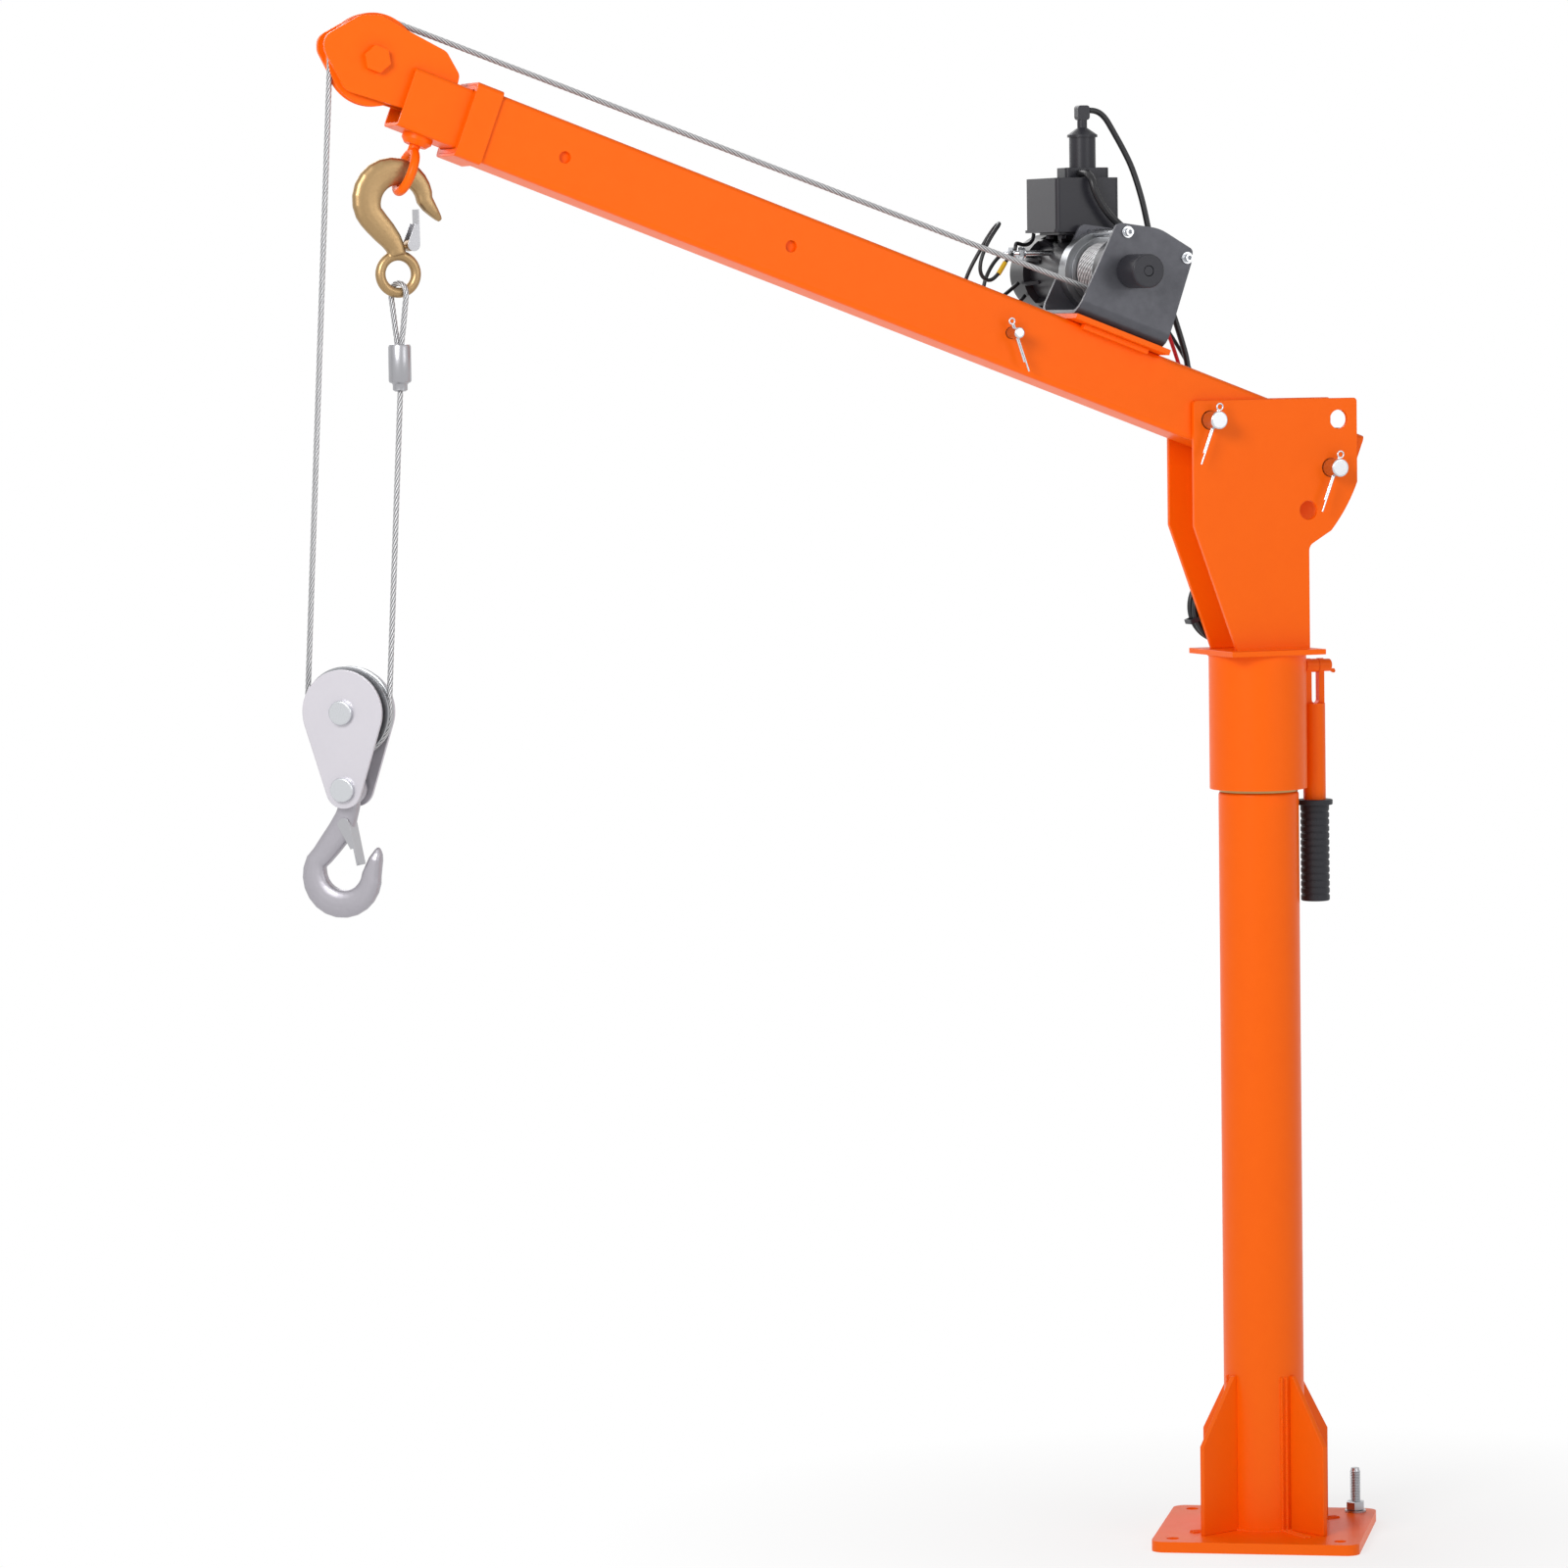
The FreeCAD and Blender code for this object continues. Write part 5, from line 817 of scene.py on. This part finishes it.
def straight(first: Vector, last: Vector, steps: int) -> list[Vector]:
    """Evenly spaced points from one point to another."""
    return [first.lerp(last, index / steps) for index in range(steps + 1)]


def sharpen(piece: Object, degrees: float) -> None:
    """Shades a piece smooth but for its corners."""
    piece.data.set_sharp_from_angle(angle=radians(degrees))


@dataclass
class ForgedHook:
    """A forged hook in its own plane: eye at the origin, bowl below, mouth to the right."""

    name: str
    node: str
    body: str
    place: Matrix
    finish: Finish
    bowl: float
    bowl_at: tuple[float, float]
    outer: float
    outer_at: tuple[float, float]
    deep: float
    eye_outer: float
    eye_inner: float
    ring_eye: bool
    neck: tuple[tuple[float, float, float], ...]
    tip: tuple[tuple[float, float, float], ...]
    ear_at: tuple[float, float]
    ear: float = 6
    bowl_steps: int = 14
    BOWL_FROM = 165
    BOWL_TO = 352
    TIP_DEPTH = 1.25
    AROUND = 20
    ROUNDER = 0.72
    GRAIN = 0.8
    SMOOTHING = 0.6
    SMOOTHED = 6

    def _stations(self) -> list[tuple[float, float, float, float]]:
        """Centres, half widths and half depths from the neck round the bowl to the tip.

        Returns:
            Stations as x, z, half width, half depth.
        """
        half = self.deep / 2
        rows = [(x, z, wide, half) for x, z, wide in self.neck]
        gap = Vector(self.bowl_at) - Vector(self.outer_at)
        for index in range(self.bowl_steps + 1):
            angle = radians(self.BOWL_FROM + (self.BOWL_TO - self.BOWL_FROM) * index / self.bowl_steps)
            way = Vector((cos(angle), sin(angle)))
            lean = gap.dot(way)
            reach = -lean + sqrt(lean * lean + self.outer ** 2 - gap.length_squared)
            middle = Vector(self.bowl_at) + way * (reach + self.bowl) / 2
            rows.append((middle.x, middle.y, (reach - self.bowl) / 2, half))
        rows += [(x, z, wide, min(half, wide * self.TIP_DEPTH)) for x, z, wide in self.tip]
        return rows

    def _forging(self) -> Mesh:
        """Lofts the bowed bar from the neck round the bowl to the tip.

        Returns:
            Its mesh, in metres.
        """
        rows = self._stations()
        rings = []
        for index, (x, z, wide, deep) in enumerate(rows):
            before = Vector(rows[max(index - 1, 0)][:2])
            after = Vector(rows[min(index + 1, len(rows) - 1)][:2])
            way = (after - before).normalized()
            across = Vector((-way.y, way.x))
            points = []
            for step in range(self.AROUND):
                angle = 2 * pi * step / self.AROUND
                along, aside = cos(angle), sin(angle)
                out = copysign(abs(along) ** self.ROUNDER, along) * wide
                deep_by = copysign(abs(aside) ** self.ROUNDER, aside) * deep
                points.append(Vector((x + across.x * out, deep_by, z + across.y * out)))
            rings.append(points)
        forging = loft(rings, True)
        forging.transform(Matrix.Scale(MM, 4))
        return forging

    def make(self, shop: Workshop) -> None:
        """Melts the forging, its eye and its latch ear together.

        Args:
            shop: the workshop.
        """
        upright = Matrix.Rotation(radians(90), 4, "X")
        solids = [self._forging()]
        half = self.deep / 2
        if self.ring_eye:
            bpy.ops.mesh.primitive_torus_add(major_radius=(self.eye_outer + self.eye_inner) / 2 * MM,
                                             minor_radius=(self.eye_outer - self.eye_inner) / 2 * MM,
                                             major_segments=64, minor_segments=24)
            eye = bpy.context.active_object
            eye.matrix_world = upright
            solids.append(settle(eye))
        else:
            outline = ((0, -half), (self.eye_outer - 3, -half), (self.eye_outer, -half + 3),
                       (self.eye_outer, half - 3), (self.eye_outer - 3, half), (0, half))
            solids.append(lathe(outline, upright))
        ear_place = Matrix.Translation(metres((self.ear_at[0], 0, self.ear_at[1]))) @ upright
        outline = ((0, -half + 0.6), (self.ear - 1, -half + 0.6), (self.ear, -half + 1.6), (self.ear, half - 1.6),
                   (self.ear - 1, half - 0.6), (0, half - 0.6))
        solids.append(lathe(outline, ear_place))
        blank = linked("blank", join_meshes(solids))
        modify(blank, "REMESH", mode="VOXEL", voxel_size=self.GRAIN * MM)
        modify(blank, "SMOOTH", factor=self.SMOOTHING, iterations=self.SMOOTHED)
        mesh = settle(blank)
        if not self.ring_eye:
            mesh = self._bored(mesh, upright)
        mesh.transform(self.place)
        piece = shop.add(self.name, mesh, self.finish)
        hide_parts(self.node)
        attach(piece, self.body)

    def _bored(self, mesh: Mesh, upright: Matrix) -> Mesh:
        """Bores the eye.

        Args:
            mesh: the hook without its bore.
            upright: the bore's axis.

        Returns:
            The bored hook.
        """
        drill = linked("drill", lathe(((0, -self.deep), (self.eye_inner, -self.deep), (self.eye_inner, self.deep),
                                       (0, self.deep)), upright))
        blank = linked("blank", mesh)
        modify(blank, "BOOLEAN", object=drill, solver="EXACT")
        result = settle(blank)
        bpy.data.objects.remove(drill)
        return result


LEAD_POINTS = ((-154.5, 98, 1588), (-146, 98, 1588.5), (-135, 97.5, 1581.5), (-126.5, 95, 1566),
               (-117, 92, 1548), (-108, 88, 1528), (-102, 84, 1507), (-97, 80, 1484),
               (-92.5, 78, 1459), (-88, 74, 1432), (-82, 70, 1405), (-75, 65, 1380), (-69, 60, 1357),
               (-62, 57, 1332), (-57, 53.5, 1309), (-57, 51.5, 1288), (-63.8, 51.5, 1268),
               (-71, 51.5, 1246))
LOWER_POINTS = ((-78, 51.2, 1222), (-74, 49.5, 1197), (-62, 47, 1175), (-43, 45, 1156),
                (-20, 43.5, 1138), (2, 42.5, 1118), (16.5, 42, 1094), (21.1, 42, 1066))
TAIL_POINTS = ((0, 49.8, 1078), (18, 50, 1073), (31, 49, 1061), (37, 48, 1045), (38, 47.6, 1027.4))
RED_POINTS = ((-133.2, 76, 1409), (-124, 76, 1408), (-111, 73, 1398), (-98, 68, 1380), (-87, 62, 1360),
              (-78, 57, 1340), (-72, 54, 1320), (-67, 52.5, 1303), (-63.4, 51.5, 1288.6))
BLACK_POINTS = ((-133.2, 96, 1407), (-124, 96, 1406), (-109, 92, 1396), (-94, 85, 1378),
                (-80, 77, 1358), (-68, 70, 1337), (-59, 64, 1319), (-52.5, 58, 1304),
                (-51.2, 52.5, 1289))
BOX_LEAD_POINTS = ((-206.5, 133, 1453.3), (-207.6, 132, 1446.5), (-216, 125, 1441.5), (-226, 118, 1440.5),
                   (-236, 110.5, 1443), (-240, 106, 1441.5), (-240.5, 105, 1434.8))
LOOP_LEAD_POINTS = ((-243.9, 105, 1431.2), (-250, 103, 1427), (-257, 99, 1419), (-266, 95, 1408),
                    (-278, 91, 1400.5), (-289, 89, 1407), (-290, 89, 1421), (-282, 90, 1440),
                    (-271, 93, 1455), (-260, 101, 1465), (-259, 113, 1464), (-267, 121, 1450),
                    (-277, 124, 1432), (-286, 126, 1416), (-292, 129, 1400), (-289, 134, 1384),
                    (-276, 140, 1374), (-258, 146, 1374), (-240, 152, 1382), (-226, 156, 1391),
                    (-214.5, 159, 1399))
SHORT_LEAD_POINTS = ((-243.9, 135, 1431.2), (-250, 134, 1427), (-259, 132, 1417), (-267, 130, 1403),
                     (-270, 130, 1388), (-265, 133, 1373), (-252, 138, 1365), (-236, 144, 1366),
                     (-221, 150, 1374), (-208, 156, 1385))
SHEATH_POINTS = ((-172, 82.8, 1518.3), (-172, 72, 1518.6), (-172, 60.5, 1518), (-171.5, 51, 1512.5),
                 (-170, 47.8, 1501), (-164.5, 47.6, 1489), (-157, 47, 1477.5), (-148.5, 45.5, 1467.5),
                 (-140, 42.8, 1459.5), (-133.5, 41, 1450.5), (-130, 40.5, 1440))
SLEEVE_POINTS = ((-255.2, 100.2, 1421.4), (-259.5, 97.8, 1416), (-265.4, 95.4, 1408.9))


@dataclass
class Leads:
    """The supply lead with its coiled spare length, and the winch's own wiring."""

    TERMINAL_ROOT = (-169.6, 0, 1409.4)
    TERMINALS = (105, 135)
    SLEEVE_OVER = 1.2
    lead: float = 6.7
    sheath: float = 8.5
    small: float = 4.4
    coil_at: Point = (-20, 42, 1036.9)
    coil_outer: float = 41.1
    coil_turns: float = 1.875
    coil_step: float = 7.6
    coil_play: float = 0.9
    per_turn: int = 16

    def _coil(self) -> list[Vector]:
        """The coil's points, in over the layer and out again.

        Returns:
            The points.
        """
        points = []
        layer = self.lead + self.coil_play
        count = int(2 * self.coil_turns * self.per_turn)
        for index in range(count + 1):
            turn = index / self.per_turn
            climb = min(max(2 * (turn - self.coil_turns) + 0.5, 0), 1)
            radius = self.coil_outer - self.coil_step * (self.coil_turns - abs(turn - self.coil_turns))
            angle = -2 * pi * turn
            points.append(Vector(self.coil_at) + Vector((cos(angle), 0, sin(angle))) * radius
                          + Vector((0, 1, 0)) * climb * layer)
        return points

    def make(self, shop: Workshop) -> None:
        """Makes every lead.

        Args:
            shop: the workshop.
        """
        route = [*map(Vector, LEAD_POINTS), *map(Vector, LOWER_POINTS), *self._coil(), *map(Vector, TAIL_POINTS)]
        line = spline(route)
        bare = bpy.data.meshes.new_from_object(line.evaluated_get(bpy.context.evaluated_depsgraph_get()))
        bpy.data.objects.remove(line)
        cable = shop.tube("supply_cable", route, self.lead, CABLE)
        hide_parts("supply_lead", "supply_lead_lower", "supply_coil")
        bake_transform(cable)
        wires = (("box_wire", BOX_LEAD_POINTS, self.small, CABLE), ("loop_wire", LOOP_LEAD_POINTS, self.small, CABLE),
                 ("short_wire", SHORT_LEAD_POINTS, self.small, CABLE), ("red_wire", RED_POINTS, self.small, RED_CABLE),
                 ("black_wire", BLACK_POINTS, self.small, CABLE), ("wire_sheath", SHEATH_POINTS, self.sheath, CABLE),
                 ("yellow_sleeve", SLEEVE_POINTS, self.small + self.SLEEVE_OVER, YELLOW_SLEEVE))
        for name, points, thick, finish in wires:
            piece = shop.tube(name, points, thick, finish)
            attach(piece, "outer_boom")
            if name == "loop_wire":
                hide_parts("winch_wiring")
        self._terminals(shop)

    def _terminals(self, shop: Workshop) -> None:
        """The motor's two threaded terminals with their nuts.

        Args:
            shop: the workshop.
        """
        root = metres(self.TERMINAL_ROOT)
        solids = []
        for across in self.TERMINALS:
            place = Matrix.Translation(root + metres((0, across, 22))) @ Matrix.Rotation(radians(-90), 4, "Y")
            outline = [(0, 25), (3, 25), (3, 62.5)]
            outline += [(3 - 0.35 * (index % 2), 68.5 + 0.45 * index) for index in range(10)]
            outline += [(0, 73)]
            solids.append(lathe(outline, place, 24))
            solids.append(hexagon(6.9, 62.8, 68, place))
            solids.append(lathe(((3, 61.2), (7, 61.2), (7, 62.6), (3, 62.6), (3, 61.2)), place, 24))
        piece = shop.add("motor_terminals", join_meshes(solids), ZINC)
        sharpen(piece, 35)
        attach(piece, "outer_boom")


class WeldBeads:
    """Weld seams, each a row of overlapping ripples along a line, by one Geometry Nodes tree."""

    PITCH = 0.42
    FLATTENED = 0.62

    def __init__(self, shop: Workshop) -> None:
        """Builds the tree.

        Args:
            shop: the workshop.
        """
        self.shop = shop
        self.tree, sockets = geometry_tree("Weld bead", {"Width": 0.0})
        self.width = sockets["Width"]
        given = self.tree.nodes.new("NodeGroupInput").outputs
        points = add_node(self.tree, "GeometryNodeCurveToPoints", {
            "Curve": given["Line"], "Length": sum_of(self.tree, "MULTIPLY", given["Width"], self.PITCH)},
            mode="LENGTH").outputs
        ball = add_node(self.tree, "GeometryNodeMeshUVSphere", {
            "Segments": 8, "Rings": 5, "Radius": sum_of(self.tree, "MULTIPLY", given["Width"], 0.5)})
        place = add_node(self.tree, "GeometryNodeInstanceOnPoints", {
            "Scale": (1, 1, self.FLATTENED), "Points": points["Points"], "Instance": ball.outputs["Mesh"],
            "Rotation": points["Rotation"]})
        end_tree(self.tree, place.outputs["Instances"], shop.materials[ORANGE])

    def make(self, name: str, body: str, lines: Sequence[Sequence[Vector]], width: float) -> None:
        """Makes one body's seams of one width.

        Args:
            name: the piece's name.
            body: the body that they ride on.
            lines: each seam's points, in millimetres.
            width: the bead's width, in millimetres.
        """
        meshes = [grown(points, self.tree, self.width, width * MM) for points in lines]
        piece = self.shop.add(name, join_meshes(meshes), ORANGE)
        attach(piece, body)


@dataclass
class Welds:
    """Where the crane's plates and tubes are welded."""

    column: float = 44.5
    plate_top: float = 12
    gusset_high: float = 185
    gusset_thick: float = 3
    gusset_turn: float = 5
    gusset_reach: float = 93
    flange_top: float = 992
    flange_low: float = 986
    plate_near: float = 36.5
    sleeve: float = 54

    def make(self, beads: WeldBeads) -> None:
        """Makes the seams.

        Args:
            beads: the bead maker.
        """
        seams = []
        for index in range(4):
            angle = radians(self.gusset_turn + 90 * index)
            out = Vector((cos(angle), sin(angle), 0))
            across = Vector((-out.y, out.x, 0))
            for side in (-1, 1):
                shift = across * side * self.gusset_thick
                seams.append([out * self.column + shift + Vector((0, 0, self.plate_top + 2)),
                              out * self.column + shift + Vector((0, 0, self.gusset_high - 2))])
                seams.append([out * (self.column + 2) + shift + Vector((0, 0, self.plate_top)),
                              out * self.gusset_reach + shift + Vector((0, 0, self.plate_top))])
        seams.append(circle_points(self.column, self.plate_top, 72))
        beads.make("welds_at_foot", "base", seams, 4.6)
        seams = [circle_points(self.sleeve, self.flange_low, 72)]
        for side in (Side.NEAR, Side.FAR):
            y = side.value * self.plate_near
            seams.append([Vector((-40, y, self.flange_top)), Vector((46, y, self.flange_top))])
        beads.make("welds_at_head", "swivel_head", seams, 3.6)


def circle_points(radius: float, height: float, steps: int) -> list[Vector]:
    """A closed level ring of points."""
    points = ring(radius, height, steps)
    return points + points[:1]


@dataclass
class Anchor:
    """The threaded anchor with its nut and washer in one hole of the base plate."""

    spacing: float = 185
    turn: float = -31
    plate: float = 12
    rise: float = 62
    thread: float = 6
    pitch: float = 1.75
    groove: float = 0.75

    def make(self, shop: Workshop) -> None:
        """Makes the anchor in the far right hole.

        Args:
            shop: the workshop.
        """
        half = self.spacing / 2
        spot = Matrix.Rotation(radians(self.turn), 3, "Z") @ Vector((half, half, 0))
        place = Matrix.Translation(metres(spot))
        outline = [(0, 0.2), (self.thread - 0.4, 0.2)]
        count = int((self.rise - self.plate - 4) / self.pitch * 2)
        outline += [(self.thread - self.groove * (index % 2), self.plate + 2 + index * self.pitch / 2)
                    for index in range(count)]
        outline += [(self.thread - 1.5, self.rise), (0, self.rise)]
        top = self.plate + 2.2
        solids = [lathe(outline, place, 32), hexagon(10.8, top, top + 10, place),
                  lathe(((6.4, self.plate + 0.1), (12, self.plate + 0.1), (12, top), (6.4, top),
                              (6.4, self.plate + 0.1)), place, 40)]
        piece = shop.add("floor_anchor", join_meshes(solids), DULL_ZINC)
        sharpen(piece, 30)
        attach(piece, "base")


class CarriedNodes:
    """The nodes that keep their own solids: their finishes and eased edges."""

    EASED = {"orange_paint": 0.7, "winch_black": 0.45, "motor_black": 0.6, "cheek_silver": 0.6, "box_plastic": 0.5,
             "bright_zinc": 0.25, "grip_rubber": 0.35}
    EASED_MORE = {"relay_box": 2.2, "motor_can": 1.5, "side_plate_near": 0.9, "side_plate_far": 0.9}
    OTHER = {"winch_frame": FRAME_GREY, "drum_ring": DRUM_ZINC, "winch_drum": DRUM_ZINC, "block_sheave": DRUM_ZINC,
             "line_hook_latch": DULL_ZINC, "load_hook_latch": DULL_ZINC}
    SHARP = radians(32)
    FLAT = radians(0.6)

    def __init__(self, shop: Workshop) -> None:
        """Keeps the workshop.

        Args:
            shop: the workshop.
        """
        self.shop = shop

    def dress(self) -> None:
        """Gives each node its finish, and rounds its edges where it shows."""
        slots = {row["node"]: row["material_slot"] for row in self.shop.frame["record"]["subparts"]}
        for name, item in self.shop.frame["nodes"].items():
            if item.hide_render:
                continue
            self.shop.paint(item.data, self.OTHER.get(name, BY_SLOT[slots[name]]))
            modify(item, "WELD", merge_threshold=MERGED)
            modify(item, "DECIMATE", decimate_type="DISSOLVE", angle_limit=self.FLAT)
            ease = self.EASED_MORE.get(name, self.EASED.get(slots[name]))
            if ease:
                modify(item, "BEVEL", width=ease * MM, segments=2, limit_method="ANGLE", angle_limit=self.SHARP,
                       use_clamp_overlap=True)
                modify(item, "WEIGHTED_NORMAL", weight=50)
            else:
                modify(item, "EDGE_SPLIT", split_angle=self.SHARP)


@dataclass
class Studio:
    """The floor, the light and the camera."""

    eye: Point = (-3129.9, -6735.7, 1375.1)
    azimuth: float = -20.864
    pitch: float = -4.063
    roll: float = -0.798
    lens: float = 153.9
    sensor: float = 36.0
    world_light: float = 0.32
    fade_from: float = 0.18
    fade_to: float = 0.75
    floor_glow: float = 0.72

    def make(self) -> None:
        """Sets up the studio."""
        self._camera()
        self._world()
        self._floor()
        self._lamp("key", (-3000, -2200, 2600), (-200, 0, 900), 1.3, 74)
        self._lamp("side", (1200, -3400, 2200), (-200, 0, 900), 1.8, 22)
        self._lamp("back", (-600, 3000, 2600), (-300, 0, 1000), 2.0, 30)
        bpy.context.scene.view_settings.view_transform = "Standard"

    def _camera(self) -> None:
        """Puts the camera where the photograph was taken from."""
        turn, rise, roll = (radians(value) for value in (self.azimuth, self.pitch, self.roll))
        level = Vector((-sin(turn), cos(turn), 0))
        right = Vector((cos(turn), sin(turn), 0))
        ahead = level * cos(rise) + Vector((0, 0, 1)) * sin(rise)
        up = Vector((0, 0, 1)) * cos(rise) - level * sin(rise)
        rolled = right * cos(roll) + up * sin(roll)
        upright = up * cos(roll) - right * sin(roll)
        camera = bpy.data.cameras.new("camera")
        camera.lens = self.lens
        camera.sensor_width = self.sensor
        camera.clip_end = 100
        item = linked("camera", camera)
        turned = Matrix((rolled, upright, -ahead)).transposed().to_4x4()
        item.matrix_world = Matrix.Translation(metres(self.eye)) @ turned
        bpy.context.scene.camera = item

    def _world(self) -> None:
        """White where the camera and mirrors see it, softer as a light."""
        world = bpy.data.worlds.new("studio")
        bpy.context.scene.world = world
        world.use_nodes = True
        tree = world.node_tree
        path = add_node(tree, "ShaderNodeLightPath").outputs
        seen = sum_of(tree, "MAXIMUM", path["Is Camera Ray"], path["Is Transmission Ray"])
        white = sum_of(tree, "MAXIMUM", seen, path["Is Glossy Ray"])
        strength = add_node(tree, "ShaderNodeMapRange", {"To Min": self.world_light, "Value": white})
        feed(tree, tree.nodes["Background"], {"Color": (1, 1, 1, 1), "Strength": strength.outputs["Result"]})

    def _floor(self) -> None:
        """A white floor that keeps the crane's shadow near it and fades to plain white."""
        bpy.ops.mesh.primitive_circle_add(vertices=64, radius=20, fill_type="NGON")
        floor = bpy.context.active_object
        floor.name = "floor"
        material = bpy.data.materials.new("floor")
        material.use_nodes = True
        tree = material.node_tree
        shader = tree.nodes["Principled BSDF"]
        feed(tree, shader, {"Base Color": (0.93, 0.93, 0.93, 1), "Roughness": 0.9})
        place = add_node(tree, "ShaderNodeTexCoord").outputs["Object"]
        far = add_node(tree, "ShaderNodeVectorMath", {0: place}, operation="LENGTH").outputs["Value"]
        fade = add_node(tree, "ShaderNodeMapRange", {
            "From Min": self.fade_from, "From Max": self.fade_to, "To Min": self.floor_glow, "Value": far})
        mix = add_node(tree, "ShaderNodeMixShader", {
            "Fac": fade.outputs["Result"], 1: shader.outputs["BSDF"],
            2: add_node(tree, "ShaderNodeEmission").outputs["Emission"]})
        feed(tree, tree.nodes["Material Output"], {"Surface": mix.outputs["Shader"]})
        floor.data.materials.append(material)

    @staticmethod
    def _lamp(name: str, spot: Point, aim: Point, size: float, power: float) -> None:
        """A soft square lamp.

        Args:
            name: the lamp's name.
            spot: where it stands, in millimetres.
            aim: where it points, in millimetres.
            size: its side, in metres.
            power: its power, in watts.
        """
        lamp = bpy.data.lights.new(name, "AREA")
        lamp.size = size
        lamp.energy = power
        item = linked(name, lamp)
        item.location = metres(spot)
        item.rotation_euler = (metres(aim) - metres(spot)).to_track_quat("-Z", "Y").to_euler()


def hooks() -> list[ForgedHook]:
    """The hook at the rope's end and the load hook."""
    line_place = Matrix.Translation(metres((-988, 0, 1416.0))) @ Matrix.Rotation(pi, 4, "X")
    load_place = (Matrix.Translation(metres((-1051, 0, 877)))
                  @ Matrix.Rotation(radians(-39.9), 4, "Z"))
    line = ForgedHook("rope_end_hook", "line_hook", "hook_line", line_place, GOLD, 20, (2, -73.3), 44, (-5, -78.2),
                      16, 25, 14, True,
                      ((-1, -20, 9.5), (-2.5, -27, 10), (-7, -35, 11.5), (-14.5, -44, 13.2), (-23, -53.5, 14),
                       (-28.3, -60, 14.4)),
                      ((35, -70.5, 7.6), (40.5, -63.8, 5.6), (45, -58.5, 3.8), (47.3, -55.8, 2.2)), (14, -30))
    load = ForgedHook("load_hook_forging", "load_hook", "swing_hook", load_place, FORGED, 21, (-8, -86), 44,
                      (-11, -93), 18, 17, 7.3, False,
                      ((0, -6, 11), (-1, -18, 11), (-5, -30, 12), (-12, -45, 14), (-24, -60, 13), (-33, -71, 12)),
                      ((28, -74, 7), (30, -68, 5), (30.5, -63.5, 2.8), (30.5, -61.5, 1.2)), (-5, -37))
    return [line, load]


def dress(frame: dict) -> None:
    """Makes every piece, in order.

    Args:
        frame: the loaded frame.
    """
    Studio().make()
    shop = Workshop(frame)
    Leads().make(shop)
    Rope().make(LaidRope(shop))
    for hook in hooks():
        hook.make(shop)
    Welds().make(WeldBeads(shop))
    Anchor().make(shop)
    CarriedNodes(shop).dress()
    LOG.info("%d pieces made", shop.count)


def main() -> None:
    """Builds the crane's looks on its frame."""
    logging.basicConfig(level=logging.INFO, format="%(name)s: %(message)s")
    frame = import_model()
    dress(frame)


if __name__ == "__main__":
    main()
